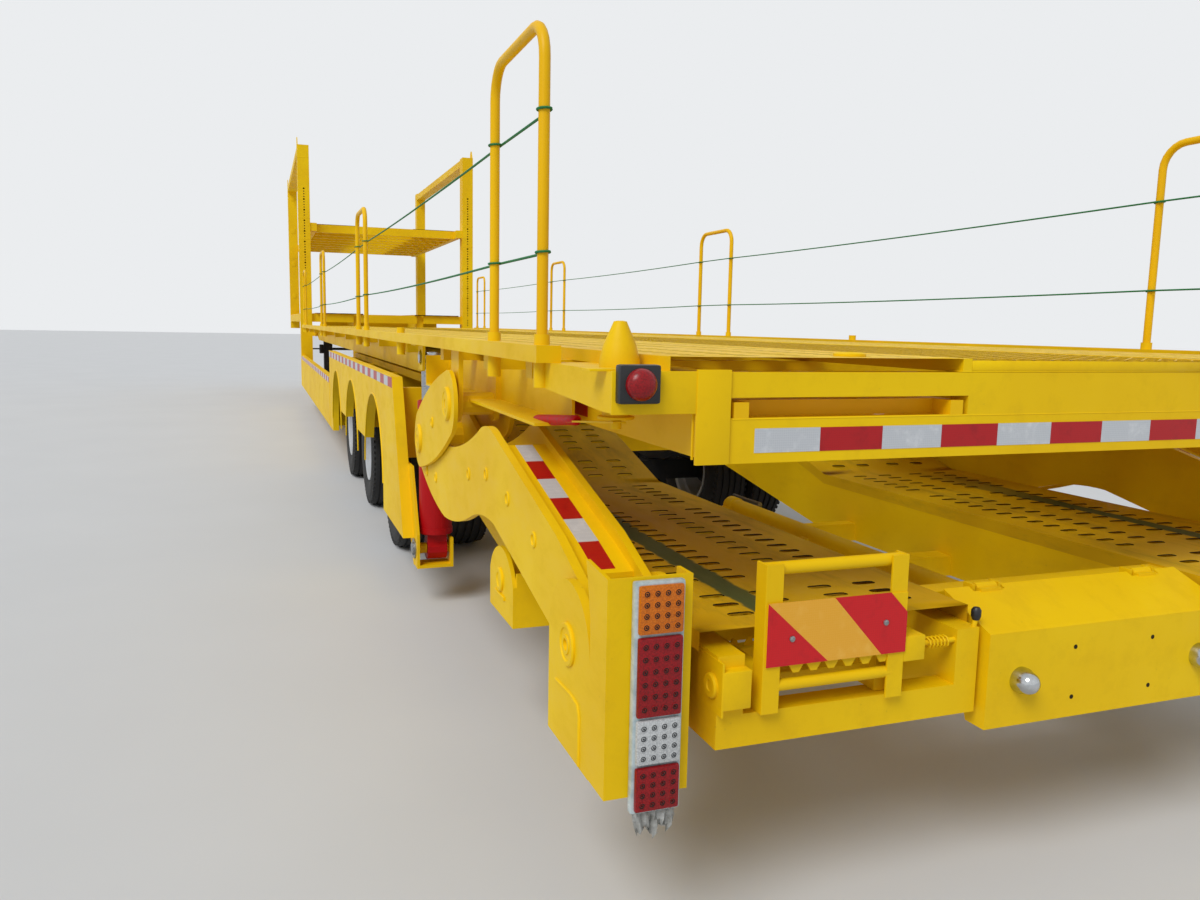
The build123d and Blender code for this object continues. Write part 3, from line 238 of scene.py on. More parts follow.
plainLooks = {
    # Moulded natural rubber, dull, with road dust in its grain.
    "mouldedTyreRubber": {"colour": "#2C2B2A", "dark": "#141415", "rough": 0.75, "grain": 12, "relief": 0.25,
        "ior": 1.52},
    # Injection-moulded ABS housing, satin black.
    "mouldedBlackHousing": {"colour": "#1D1E20", "dark": "#121314", "rough": 0.42, "grain": 4, "ior": 1.52},
    # Moulded milky polycarbonate of the lamp trays, with the bluish edge of clear plastic.
    "milkyLampTray": {"colour": "#C9D6D8", "dark": "#9FB2B6", "rough": 0.22, "grain": 20, "coat": 0.5, "ior": 1.58},
    # Turned and ground steel with fine rings.
    "groundSteel": {"colour": "#C9CCCE", "dark": "#8F9396", "rough": 0.22, "grain": 3, "metal": 1.0,
        "drawn": (0.2, 0.2, 3.0)},
    # Zinc-plated fasteners, grey and a little blotchy.
    "zincPlate": {"colour": "#B4B7B8", "dark": "#7D8082", "rough": 0.38, "grain": 6, "metal": 1.0},
    # Polished plated lamp domes.
    "platedDome": {"colour": "#D5D7D8", "dark": "#A9ACAE", "rough": 0.14, "grain": 30, "metal": 1.0},
    # Dipped PVC grip, glossy red.
    "dippedGrip": {"colour": "#D40A18", "dark": "#AE0812", "rough": 0.5, "grain": 8, "ior": 1.3},
    # Braided polypropylene rope, green and matt.
    "braidedRope": {"colour": "#1F8A4C", "dark": "#125A32", "rough": 0.7, "grain": 4, "relief": 0.6, "ior": 1.5},
    # Raw cut edge inside a punched hole, dull and near black: painted shade for the shadow in the hole.
    "paintedHoleShade": {"colour": "#3A2C0A", "dark": "#1A1404", "rough": 0.7, "grain": 10, "ior": 1.3},
    # Sheared side of an expanded-metal strand and cut edge of the deck's slots: a darker yellow, painted shade.
    "paintedEdgeShade": {"colour": "#DDB40C", "dark": "#A87E08", "rough": 0.6, "grain": 12, "ior": 1.3},
    # Crumpled stretch film, grey and shiny in its folds.
    "stretchFilm": {"colour": "#B4B5B1", "dark": "#84837D", "rough": 0.3, "grain": 25, "coat": 0.2, "ior": 1.5}}
finishes.update({name: plainFinish(name, look) for name, look in plainLooks.items()})
print("finishes mixed:", len(finishes))

slotFinishes = {
    "yellow_enamel": "chromeYellowEnamel", "runway_enamel": "wornRunwayEnamel", "hoop_enamel": "hoopTubeEnamel",
    "lamp_lens": "redLens", "polished_lamp": "platedDome", "black_paint": "blackChassisEnamel",
    "machined_steel": "groundSteel", "red_cylinder": "redCylinderEnamel", "tyre_rubber": "mouldedTyreRubber",
    "wheel_silver": "silverWheelEnamel"}
for part in frame["record"]["subparts"]:
    materials = nodes[part["node"]].data.materials
    finish = finishes[slotFinishes[part["material_slot"]]]
    if len(materials) == 0:
        materials.append(finish)
    for index in range(len(materials)):
        materials[index] = finish


# In all the functions that add to a form, tint is the material's place in the piece's list.
def addBox(form, low, high, bevel=0.0, tint=0):
    low, high = Vector(low), Vector(high)
    place = Matrix.LocRotScale((low + high) / 2, None, high - low)
    made = bmesh.ops.create_cube(form, size=1.0, matrix=place)["verts"]
    for face in {face for vert in made for face in vert.link_faces}:
        face.material_index = tint
    if bevel:
        edges = list({edge for vert in made for edge in vert.link_edges})
        bmesh.ops.bevel(form, geom=edges, offset=bevel, segments=2, affect="EDGES", profile=0.6,
                        material=tint)


# A box on one side of the trailer, from stations, distances from its middle and heights.
def addSideBox(form, side, stations, outwards, heights, bevel=0.0, tint=0):
    near, far = sorted(side * distance for distance in outwards)
    addBox(form, (at(stations[0]), near, heights[0]), (at(stations[1]), far, heights[1]), bevel, tint)


def crossFrame(direction):
    direction = direction.normalized()
    helper = Vector((0, 0, 1)) if abs(direction.z) < 0.9 else Vector((1, 0, 0))
    first = direction.cross(helper).normalized()
    return first, direction.cross(first).normalized()


def spokesOf(count, first, second):
    turns = [2 * pi * k / count for k in range(count)]
    return [first * cos(turn) + second * sin(turn) for turn in turns]


def skinRings(form, rings, closeEnds=True, tint=0):
    count = len(rings[0])
    skin = [(one[i], one[(i + 1) % count], two[(i + 1) % count], two[i])
            for one, two in zip(rings, rings[1:]) for i in range(count)]
    if closeEnds:
        skin += [list(reversed(rings[0])), rings[-1]]
    for corners in skin:
        form.faces.new(corners).material_index = tint


# A tube that follows points, mitred at each of them.
def addTube(form, points, radius, flats=12, tint=0):
    points = [Vector(point) for point in points]
    first, second = crossFrame(points[1] - points[0])
    rings = []
    for i, point in enumerate(points):
        before = (point - points[i - 1]).normalized() if i else (points[1] - point).normalized()
        after = (points[i + 1] - point).normalized() if i < len(points) - 1 else before
        along = (before + after).normalized()
        if i:
            turn = previous.rotation_difference(before)
            first, second = turn @ first, turn @ second
        previous = before
        rings.append([form.verts.new(point + radius * (spoke - before * (spoke.dot(along) / before.dot(along))))
                      for spoke in spokesOf(flats, first, second)])
    skinRings(form, rings, tint=tint)


def addSideTube(form, side, places, radius, flats=12, tint=0):
    addTube(form, [(at(station), side * outward, height) for station, outward, height in places], radius, flats, tint)


# A turned form: its profile is a list of (radius, distance along the axis).
def addTurned(form, centre, axis, profile, flats=24, tint=0, closeEnds=True):
    centre, axis = Vector(centre), Vector(axis).normalized()
    spokes = spokesOf(flats, *crossFrame(axis))
    rings = [[form.verts.new(centre + axis * rise + radius * spoke) for spoke in spokes] for radius, rise in profile]
    skinRings(form, rings, closeEnds, tint)


# A turned form on one side of the trailer; its axis points outwards unless one is given.
def addSideTurned(form, side, place, profile, flats=24, tint=0, axis=None):
    station, outward, height = place
    addTurned(form, (at(station), side * outward, height), axis or (0, side, 0), profile, flats, tint)


def addPlate(form, outline, rise, tint=0):  # an outline drawn out by a vector
    rings = [[form.verts.new(Vector(point) + lift) for point in outline] for lift in (Vector(), Vector(rise))]
    skinRings(form, rings, tint=tint)


def addObject(name, data):
    made = bpy.data.objects.new(name, data)
    bpy.context.scene.collection.objects.link(made)
    return made


def finishPiece(name, form, body, materials=("chromeYellowEnamel",), bevel=0.0, sharp=35,
                faceUp=False):
    bmesh.ops.recalc_face_normals(form, faces=form.faces)
    if faceUp:
        bmesh.ops.reverse_faces(form, faces=[face for face in form.faces if face.normal.z < -0.3])
    mesh = bpy.data.meshes.new(name)
    form.to_mesh(mesh)
    form.free()
    for material in materials:
        mesh.materials.append(finishes[material])
    mesh.polygons.foreach_set("use_smooth", [True] * len(mesh.polygons))
    mesh.set_sharp_from_angle(angle=radians(sharp))
    piece = addObject(name, mesh)
    if bevel:
        rounded = piece.modifiers.new("rounded", "BEVEL")
        rounded.width, rounded.segments, rounded.limit_method = bevel, 2, "ANGLE"
        rounded.harden_normals = True
    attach(piece, body)
    return piece


# Runway plates with oblong slots: a real hole in each cell, and folded edges.
slotPattern = {
    "pitch": 0.068, "length": 0.063, "width": 0.024, "sheet": 0.003, "endPoints": 4, "margin": 0.06, "blankEvery": 14}


def addSlotCell(form, place, u0, u1, v0, v1, centreV):
    middleU = (u0 + u1) / 2
    half = slotPattern["width"] / 2
    reach = slotPattern["length"] / 2 - half
    steps = slotPattern["endPoints"]
    turns = [pi * k / steps for k in range(steps + 1)]
    # Slot outline from the near u side round the high v end to the far u side, then back.
    hole = [(middleU - half * cos(turn), centreV + reach + half * sin(turn)) for turn in turns]
    hole += [(middleU + half * cos(turn), centreV - reach - half * sin(turn)) for turn in turns]
    top, bottom = [[form.verts.new(place(u, v, drop)) for u, v in hole] for drop in (0.0, -slotPattern["sheet"])]
    corners = [form.verts.new(place(u, v, 0.0)) for u, v in ((u0, v0), (u0, v1), (u1, v1), (u1, v0))]
    # Two faces, split through the middles of the slot's ends; the cut edge has its own finish, a painted shade.
    high, low = [form.verts.new(place(middleU, v, 0.0)) for v in (v1, v0)]
    mid = steps // 2
    form.faces.new([corners[1], corners[0], low] + top[steps + 1 + mid:] + top[:mid + 1] + [high])
    form.faces.new([corners[3], corners[2], high] + top[mid:steps + 2 + mid] + [low])
    skinRings(form, [top, bottom], closeEnds=False, tint=1)


def slottedRunway(name, line, across, columns, edgeDrop, body="chassis", finish="wornRunwayEnamel", blankRow=6,
                  replaced=()):
    form = bmesh.new()
    pitch = slotPattern["pitch"]
    fold = Vector((0, 0, edgeDrop))
    lengths = [0.0]
    for (x0, z0), (x1, z1) in zip(line, line[1:]):
        lengths.append(lengths[-1] + hypot(x1 - x0, z1 - z0))
    bounds = [across[0]] + [(a + b) / 2 for a, b in zip(columns, columns[1:])] + [across[1]]
    for side in bothSides:
        # Where the plate lies: u runs along it, v outwards from the trailer's middle.
        def place(u, v, drop=0.0):
            for i in range(len(line) - 1):
                if u <= lengths[i + 1] + 1e-9 or i == len(line) - 2:
                    share = (u - lengths[i]) / (lengths[i + 1] - lengths[i])
                    (x0, z0), (x1, z1) = line[i], line[i + 1]
                    return Vector((x0 + (x1 - x0) * share, side * v, z0 + (z1 - z0) * share + drop))

        for start, end in zip(lengths, lengths[1:]):
            rows = max(1, int((end - start - slotPattern["margin"]) / pitch))
            first = start + (end - start - rows * pitch) / 2
            blanks = [(start, first), (first + rows * pitch, end)]
            for row in range(rows):
                u0 = first + row * pitch
                if row % slotPattern["blankEvery"] == blankRow:
                    blanks.append((u0, u0 + pitch))
                    continue
                for k, centre in enumerate(columns):
                    addSlotCell(form, place, u0, u0 + pitch, bounds[k], bounds[k + 1], centre)
            quads = [[place(u0, v0), place(u1, v0), place(u1, v1), place(u0, v1)]
                     for u0, u1 in blanks for v0, v1 in zip(bounds, bounds[1:])]
            for v in across:
                near, far = place(start + 1e-6, v), place(end, v)
                quads.append([near, far, far - fold, near - fold])
            for quad in quads:
                form.faces.new([form.verts.new(point) for point in quad])
    bmesh.ops.remove_doubles(form, verts=form.verts, dist=0.0003)
    # The slots' cut edges are painted shade: a darker yellow on the open deck, lit from both sides, and near black
    # below it, where the slots lie in shade.
    slotEdge = "paintedEdgeShade" if body == "upper_deck" else "paintedHoleShade"
    piece = finishPiece(name, form, body, [finish, slotEdge], faceUp=True)
    if replaced:
        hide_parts(*replaced)


def alongX(height, start, end):
    return [(at(start), height), (at(end), height)]


tailLine = [(at(0.06), 0.665), (at(1.8), 0.665), (at(2.99), 1.0)]
lowerReach, lowerColumns = (0.384, 1.053), (0.503, 0.6275, 0.785, 0.9125)
deckColumns = (0.49, 0.62, 0.76, 0.9, 1.03)
slottedRunway("tailRunwayPlates", tailLine, lowerReach, lowerColumns, 0.04, finish="stainedRunwayEnamel", blankRow=3,
              replaced=["tail_runways"])
slottedRunway("wheelDeckPlates", alongX(1.0, 2.99, 7.13), lowerReach, lowerColumns, 0.04, replaced=["lower_runways"])
slottedRunway("wellPlates", alongX(0.45, 7.13, 12.9), lowerReach, lowerColumns, 0.02)
slottedRunway("neckPlates", alongX(1.4, 12.9, 17.465), lowerReach, lowerColumns, 0.012)
slottedRunway("deckPlates", alongX(1.215, 0.09, 12.59), (0.4, 1.12), deckColumns, 0.03, "upper_deck",
              "chromeYellowEnamel", 9, ["deck_runways"])
slottedRunway("platformPlates", alongX(2.7, 13.112, 17.253), (0.4, 1.103), deckColumns, 0.006, "front_platform",
              blankRow=9, replaced=["platform_runways"])
print("runways slotted")

# Expanded metal over the middle of the upper deck: slit and stretched sheet, so every strand is
# a slanted ribbon between two knuckles.
deckMesh = {
    "ends": (0.1, 12.55), "half": 0.4, "long": 0.056, "short": 0.044, "strand": 0.005, "thick": 0.004, "top": 1.2135}
form = bmesh.new()
stepX, stepY = deckMesh["short"] / 2, deckMesh["long"] / 2
drop = Vector((0, 0, -deckMesh["thick"]))
for i in range(int((deckMesh["ends"][1] - deckMesh["ends"][0]) / stepX)):
    for j in range(int(2 * deckMesh["half"] / stepY)):
        x0 = at(deckMesh["ends"][0]) + i * stepX
        y0 = -deckMesh["half"] + j * stepY
        y0, y1 = (y0, y0 + stepY) if (i + j) % 2 == 0 else (y0 + stepY, y0)
        a, b = Vector((x0, y0, deckMesh["top"])), Vector((x0 + stepX, y1, deckMesh["top"]))
        across = (b - a).cross(Vector(upward)).normalized() * deckMesh["strand"] / 2
        quad = [a + across, b + across, b - across, a - across]
        top, foot = [[form.verts.new(point + fall) for point in quad] for fall in (Vector(), drop)]
        form.faces.new(top)
        # The strands' sides take the darker second finish: painted shade, so that the openings show.
        for one, two in ((0, 1), (2, 3)):
            form.faces.new((top[one], foot[one], foot[two], top[two])).material_index = 1
finishPiece("deckExpandedMetal", form, "upper_deck", ["chromeYellowEnamel", "paintedEdgeShade"])

# Flat edging that holds the expanded metal, an angle strip across the tail and the small lifting
# disc near it.
deckEdging = {
    "sides": ((0.09, 12.56), (0.392, 0.416), (1.1853, 1.2155)),
    # Legs of the angle strip: stations, half width and heights.
    "strip": [((0.0895, 0.13), 0.42, (1.1853, 1.1885)), ((0.0895, 0.0945), 0.3919, (1.1885, 1.2115))],
    "disc": [(0.036, 0), (0.036, 0.006), (0.03, 0.009), (0.022, 0.006), (0.01, 0.007)],
    "discPlace": (0.2, 0.636, 1.215)}
form = bmesh.new()
for side in bothSides:
    addSideBox(form, side, *deckEdging["sides"])
for stations, half, heights in deckEdging["strip"]:
    addSideBox(form, 1, stations, (-half, half), heights, 0.001)
addTurned(form, stationed(deckEdging["discPlace"]), upward, deckEdging["disc"], 32)
finishPiece("deckMiddleFrame", form, "upper_deck", bevel=0.001)

# Conspicuity tape: blocks of red and silver film, each just proud of the face behind it.
tape = {"width": 0.05, "block": 0.15, "rearBlock": 0.155, "filled": 0.998, "skin": 0.0008}


def tapeRun(name, body, start, block, lift, count, silverFirst=0):
    form = bmesh.new()
    start, block, upright = Vector(start), Vector(block), Vector((0, 0, tape["width"]))
    for k in range(count):
        near = start + block * k
        far = near + block * tape["filled"]
        addPlate(form, [near, far, far + upright, near + upright], lift, (k + silverFirst) % 2)
    finishPiece(name, form, body, ["redCellFilm", "silverCellFilm"])


tapeRun("rearBarTape", "upper_deck", (at(0.09), 0.929, 1.021), (0, -tape["rearBlock"], 0), (-tape["skin"], 0, 0),
        12, 1)
sideTapes = [
    ("skirtTape", "chassis", (2.97, halfWidth, 0.962), 28), ("wellRailTape", "chassis", (7.2, halfWidth, 0.722), 38),
    ("deckBeamTape", "upper_deck", (0.77, 1.05, 1.0305), 8)]
for side, word in sideWords:
    for name, body, (station, face, height), count in sideTapes:
        tapeRun(name + word.title(), body, (at(station), side * face, height), (tape["block"], 0, 0),
                (0, side * tape["skin"], 0), count)
print("tape laid")


def pointAlong(line, distance):
    for (x0, z0), (x1, z1) in zip(line, line[1:]):
        run = hypot(x1 - x0, z1 - z0)
        if distance <= run or (x1, z1) == line[-1]:
            return x0 + (x1 - x0) * distance / run, z0 + (z1 - z0) * distance / run
        distance -= run


# Lift arms: tape on the sunk web, and rings on the ends of the spacer tubes.
tubeEnd = [(0.021, 0), (0.021, 0.004), (0.019, 0.006), (0.0145, 0.006), (0.013, 0.004), (0.012, -0.01)]
liftArm = {
    "webTop": [(1.0, 0.93), (0.41, 0.77), (0.3, 0.733)], "tape": (1.138, 1.188), "block": 0.118, "blockStart": 0.004,
    "blockEnd": 0.003, "blocks": 6, "sunk": 0.0008, "film": 0.002, "face": 1.246,
    "rings": [(2.14, 0.686), (1.94, 0.690), (1.35, 0.795), (1.105, 0.832), (0.85, 0.804), (0.59, 0.749)]}
for side, word in sideWords:
    form = bmesh.new()
    line = [(at(station), height) for station, height in liftArm["webTop"]]
    inner, outer = [side * distance for distance in liftArm["tape"]]
    for k in range(liftArm["blocks"]):
        near = pointAlong(line, k * liftArm["block"] + liftArm["blockStart"])
        far = pointAlong(line, (k + 1) * liftArm["block"] + liftArm["blockEnd"])
        corners = ((near, inner), (far, inner), (far, outer), (near, outer))
        corners = [(x, y, z - liftArm["sunk"]) for (x, z), y in corners]
        addPlate(form, corners, (0, 0, liftArm["film"]), k % 2)
    finishPiece("armTape" + word.title(), form, "lift_arm_" + word, ["silverCellFilm", "redCellFilm"])
    form = bmesh.new()
    for station, height in liftArm["rings"]:
        addSideTurned(form, side, (station, liftArm["face"], height), tubeEnd)
    finishPiece("armSpacerRings" + word.title(), form, "lift_arm_" + word)

# Rear posts: pivot ring, tube centre and the weld seam on the outer cheek.
rearPost = {
    "pivot": (0.228, halfWidth - 0.001, 0.607), "seamRadius": 0.004,
    "seam": [(0.306, 0.502), (0.20, 0.506), (0.158, 0.5), (0.147, 0.48), (0.146, 0.375)],
    "ring": [(0.047, 0), (0.047, 0.005), (0.044, 0.008), (0.036, 0.008), (0.034, 0.005), (0.022, 0.005),
        (0.021, 0.008), (0.013, 0.008), (0.012, -0.006)]}
form = bmesh.new()
for side in bothSides:
    addSideTurned(form, side, rearPost["pivot"], rearPost["ring"], 40)
    seam = [(station, halfWidth + 0.0005, height) for station, height in rearPost["seam"]]
    addSideTube(form, side, seam, rearPost["seamRadius"], 8)
finishPiece("postPivotRings", form, "chassis")

# Seats that the arms rest over: a pin ring on each outer plate, with its flat keeper bar.
armSeat = {
    "pin": (1.105, 1.2015, 0.51), "keeper": ((1.05, 1.16), (1.2015, 1.208), (0.457, 0.469)),
    "ring": [(0.036, 0), (0.036, 0.006), (0.033, 0.0085), (0.023, 0.0085), (0.0215, 0.0055), (0.008, 0.0055)]}
form = bmesh.new()
for side in bothSides:
    addSideTurned(form, side, armSeat["pin"], armSeat["ring"], 32)
    addSideBox(form, side, *armSeat["keeper"], 0.001)
finishPiece("armSeatPins", form, "chassis")

# Disc links: turned rings at both pins and a small tube end between them.
discLink = {
    "pins": [(2.2, 1.266, 0.81), (1.6, 1.266, 1.0)], "middle": (1.9, 1.267, 0.905),
    "ring": [(0.058, 0), (0.058, 0.008), (0.055, 0.0125), (0.042, 0.0125), (0.04, 0.0105), (0.028, 0.0105),
        (0.027, 0.0115), (0.016, 0.0115), (0.015, 0.004)],
    "tube": [(0.021, 0), (0.021, 0.004), (0.018, 0.006), (0.014, 0.006), (0.013, 0.004), (0.012, -0.005)]}
for side, word in sideWords:
    form = bmesh.new()
    for place in discLink["pins"]:
        addSideTurned(form, side, place, discLink["ring"], 40)
    addSideTurned(form, side, discLink["middle"], discLink["tube"])
    finishPiece("discLinkRings" + word.title(), form, "disc_link_" + word)
print("arms and links dressed")

# Rear lamp clusters: a milky tray with four lens blocks, each with rows of diode cups. A block
# is its foot, its top, its rows and its lens.
lampCluster = {
    "side": (1.124, 1.227), "height": (0.345, 0.802), "tray": (-0.02, 0), "lens": (-0.0295, -0.017), "margin": 0.006,
    "columns": 4, "face": -0.0292,
    # Where cups stand: how far the first is in and how much longer the row is, in pitches.
    "columnPlace": (0.65, 0.3), "rowPlace": (0.7, 0.4),
    "blocks": [(0.352, 0.440, 4, 1), (0.446, 0.534, 4, 2), (0.540, 0.696, 6, 1), (0.702, 0.796, 4, 0)],
    "cup": [(0.0074, -0.002), (0.0074, 0.0009), (0.0058, 0.0012), (0.0058, -0.002)],
    "diode": [(0.0057, -0.002), (0.0057, 0.0005), (0.0022, 0.0002), (0.0018, 0.0022), (0.0006, 0.0026)]}
lampMaterials = ["amberLens", "redLens", "clearLens", "milkyLampTray", "diodeCup", "paleDiodeCup"]
for side, word in sideWords:
    form = bmesh.new()
    addSideBox(form, side, lampCluster["tray"], lampCluster["side"], lampCluster["height"], 0.006, 3)
    near, far = sorted(side * distance for distance in lampCluster["side"])
    near, far = near + lampCluster["margin"], far - lampCluster["margin"]
    for bottom, top, rows, tint in lampCluster["blocks"]:
        back, front = lampCluster["lens"]
        addBox(form, (at(back), near, bottom), (at(front), far, top), 0.005, tint)
        columns = lampCluster["columns"]
        (columnIn, columnExtra), (rowIn, rowExtra) = lampCluster["columnPlace"], lampCluster["rowPlace"]
        for row in range(rows):
            for column in range(columns):
                spot = (at(lampCluster["face"]), near + (far - near) * (column + columnIn) / (columns + columnExtra),
                        bottom + (top - bottom) * (row + rowIn) / (rows + rowExtra))
                addTurned(form, spot, backward, lampCluster["cup"], 16, tint)
                addTurned(form, spot, backward, lampCluster["diode"], 12, 5 if tint == 2 else 4)
    piece = finishPiece("rearLampCluster" + word.title(), form, "chassis", lampMaterials, sharp=50)
    if side == 1:
        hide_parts("rear_lamps")

# Stretch film left round the lamps' lower ends: a crumpled strip with a ragged edge.
film = {
    "width": 0.095, "middle": 1.1755, "station": -0.016, "top": 0.352, "step": 0.013, "rows": 5, "columns": 15,
    "taper": 0.05, "hang": 0.012,
    # Waves of the folds and of the torn edge: height, then turn for each column and each row.
    "folds": ((0.005, 2.3, 0.9), (0.003, 5.1, 2.2)), "tears": ((0.012, 1.1), (0.006, 3.7))}
form = bmesh.new()
lastRow, lastColumn = film["rows"] - 1, film["columns"] - 1
for side in bothSides:
    rows = []
    for row in range(film["rows"]):
        line = []
        for k in range(film["columns"]):
            share = k / lastColumn - 0.5
            out = side * (film["middle"] + film["width"] * share * (1 - film["taper"] * row))
            fold = sum(high * sin(k * turn + row * rowTurn) for high, turn, rowTurn in film["folds"])
            drop = film["step"] * row
            if row == lastRow:
                drop += sum(high * sin(k * turn) for high, turn in film["tears"]) - film["hang"] * abs(2 * share)
            line.append(form.verts.new((at(film["station"]) + fold, out, film["top"] - drop)))
        rows.append(line)
    for one, two in zip(rows, rows[1:]):
        for corners in zip(one, one[1:], two[1:], two):
            form.faces.new(corners)
finishPiece("lampFilmEnds", form, "chassis", ["stretchFilm"], sharp=20)

# Side lamps of the deck: black moulded housing and a domed red lens.
deckLamp = {
    "box": ((0.062, 0.09), (1.150, 1.235), (1.125, 1.2)), "centre": (0.062, 1.1925, 1.1625),
    "dome": [(0.031, -0.004), (0.031, 0.006), (0.029, 0.012), (0.024, 0.018), (0.016, 0.022), (0.007, 0.024),
        (0.002, 0.0243)]}
for side, word in sideWords:
    form = bmesh.new()
    addSideBox(form, side, *deckLamp["box"], 0.006)
    addSideTurned(form, side, deckLamp["centre"], deckLamp["dome"], 32, 1, backward)
    piece = finishPiece("deckSideLamp" + word.title(), form, "upper_deck", ["mouldedBlackHousing", "redLens"],
                        sharp=40)
    if side == 1:
        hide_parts("deck_lamps")

# Guide cones, turned smooth over their stems.
guideCone = {
    "place": (0.235, 1.17, 1.185),
    "cone": [(0.0425, 0), (0.0425, 0.016), (0.034, 0.05), (0.0135, 0.0965), (0.006, 0.098)]}
form = bmesh.new()
for side in bothSides:
    addSideTurned(form, side, guideCone["place"], guideCone["cone"], 28, axis=upward)
finishPiece("deckGuideCones", form, "upper_deck")

# End plates of the deck beams, welded across the corner.
endPlates = [((0.084, 0.092), (0.988, 1.063), (1.0, 1.19)), ((0.086, 0.094), (1.058, 1.242), (1.103, 1.187))]
form = bmesh.new()
for side in bothSides:
    for plate in endPlates:
        addSideBox(form, side, *plate, 0.0015)
finishPiece("deckEndPlates", form, "upper_deck")
print("lamps set")

# Loading ramps in their stowed place: channel rails, flat rungs with teeth, and the end frame of
# angle posts, round bars and the marking board.
ramp = {
    "rails": (0.6, 0.9), "railWidth": 0.04, "stations": (0.04, 1.9), "height": (0.5, 0.58), "post": 0.31,
    "postSkin": 0.006, "outline": (0.6, 0.94), "rungs": 11, "firstRung": 0.06, "pitch": 0.155, "rungWidth": 0.04,
    "rungHeight": (0.52, 0.56),
    # Teeth: station on the rung, count, first, pitch, thickness, then half width and height of
    # root and tip.
    "teeth": (0.018, 7, 0.65, 0.038, 0.004, (0.013, 0.559), (0.005, 0.578)),
    "endTeeth": (0.004, 6, 0.65, 0.042, 0.005, (0.021, 0.603), (0.007, 0.58)),
    # Round bars of the end frame: ends and radius.
    "bars": [([(0.02, 0.605, 0.797), (0.02, 0.937, 0.797)], 0.0135),
        ([(0.012, 0.63, 0.555), (0.012, 0.905, 0.555)], 0.0125)],
    # Pin block beside the frame, with its cheek plate and round pin head.
    "pinBlock": [((-0.004, 0.08), (0.965, 1.03), (0.52, 0.6), 0.003),
        ((-0.003, 0.11), (1.026, 1.031), (0.506, 0.618), 0.0)],
    "pin": (0.04, 1.03, 0.56),
    "pinHead": [(0.026, 0), (0.026, 0.006), (0.023, 0.009), (0.012, 0.009), (0.01, 0.006)]}
board = {
    "side": (0.6, 0.935), "height": (0.6, 0.732), "plate": (-0.003, 0.0), "gap": 0.0003, "film": 0.0008,
    # Bands of film: material, then corners as shares of the width from outside and of the height.
    "bands": [(0, [(0, 1), (0, 0), (0.43, 0)]), (1, [(0, 1), (0.43, 0), (0.82, 0), (0.46, 1)]),
        (0, [(0.46, 1), (0.82, 0), (1, 0), (1, 0.66), (0.87, 1)])],
    "screws": [(0.17, 0.42), (0.84, 0.52)], "screwFace": -0.004,
    "screw": [(0.0065, 0), (0.006, 0.003), (0.003, 0.0045), (0.001, 0.0046)]}


def addTeeth(form, side, station, teeth):
    ahead, count, first, pitch, thick, root, tip = teeth
    for k in range(count):
        y = side * (first + k * pitch)
        corners = ((-root[0], root[1]), root, tip, (-tip[0], tip[1]))
        addPlate(form, [(at(station + ahead), y + half, z) for half, z in corners], (thick, 0, 0))


for side, word in sideWords:
    form = bmesh.new()
    for rail in ramp["rails"]:
        outside = rail + ramp["railWidth"]
        addSideBox(form, side, ramp["stations"], (rail, outside), ramp["height"], 0.002)
        # Angle post: one leg faces back, the other stands on the ramp's outline.
        edge, inner = (rail, outside) if rail == ramp["rails"][0] else (outside, rail)
        thick, leg = ramp["postSkin"], ramp["railWidth"]
        skin = thick if inner > edge else -thick
        corners = [(0, inner), (0, edge), (leg, edge), (leg, edge + skin), (thick, edge + skin), (thick, inner)]
        addPlate(form, [(at(x), side * y, ramp["height"][0]) for x, y in corners], (0, 0, ramp["post"]))
    for count in range(ramp["rungs"]):
        station = ramp["firstRung"] + ramp["pitch"] * count
        addSideBox(form, side, (station, station + ramp["rungWidth"]), ramp["outline"], ramp["rungHeight"], 0.002)
        addTeeth(form, side, station, ramp["teeth"])
    addTeeth(form, side, 0.0, ramp["endTeeth"])
    for ends, radius in ramp["bars"]:
        addSideTube(form, side, ends, radius, 20)
    low, high = board["height"]
    addSideBox(form, side, board["plate"], board["side"], (low, high - 0.002))
    for box in ramp["pinBlock"]:
        addSideBox(form, side, *box)
    addSideTurned(form, side, ramp["pin"], ramp["pinHead"], 28)
    piece = finishPiece("loadingRamp" + word.title(), form, "chassis", bevel=0.0008)
    if side == 1:
        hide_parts("loading_ramps")
    # Marking board: red and yellow film in slanted bands, its lower outer corner kept red.
    form = bmesh.new()
    width = board["side"][1] - board["side"][0]

    def onBoard(x, share, rise):
        return x, side * (board["side"][1] - share * width), low + rise * (high - low)

    for tint, corners in board["bands"]:
        corners = [onBoard(at(board["plate"][0] - board["gap"]), *corner) for corner in corners]
        addPlate(form, corners, (-board["film"], 0, 0), tint)
    for screw in board["screws"]:
        addTurned(form, onBoard(at(board["screwFace"]), *screw), backward, board["screw"], 14, 2)
    finishPiece("markingBoard" + word.title(), form, "chassis", ["brightRedCellFilm", "yellowCellFilm", "zincPlate"])
print("ramps and boards made")

# Tail cover: smooth lamp domes and small holes for a number plate.
coverLamp = {
    "place": (0.0, 0.277, 0.5),
    "dome": [(0.03, 0), (0.03, 0.012), (0.027, 0.02), (0.024, 0.034), (0.017, 0.043), (0.008, 0.047),
        (0.002, 0.0475)]}
plateHole = {
    "places": ((0.0, 0.12, 0.56), (0.0, 0.12, 0.44)),
    "ring": [(0.0055, -0.001), (0.0055, 0.0004), (0.004, 0.0003), (0.001, 0.0003)]}
form = bmesh.new()
for side in bothSides:
    addSideTurned(form, side, coverLamp["place"], coverLamp["dome"], 32, axis=backward)
piece = finishPiece("tailCoverLamps", form, "tail_cover", ["platedDome"])
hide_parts("cover_lamps")
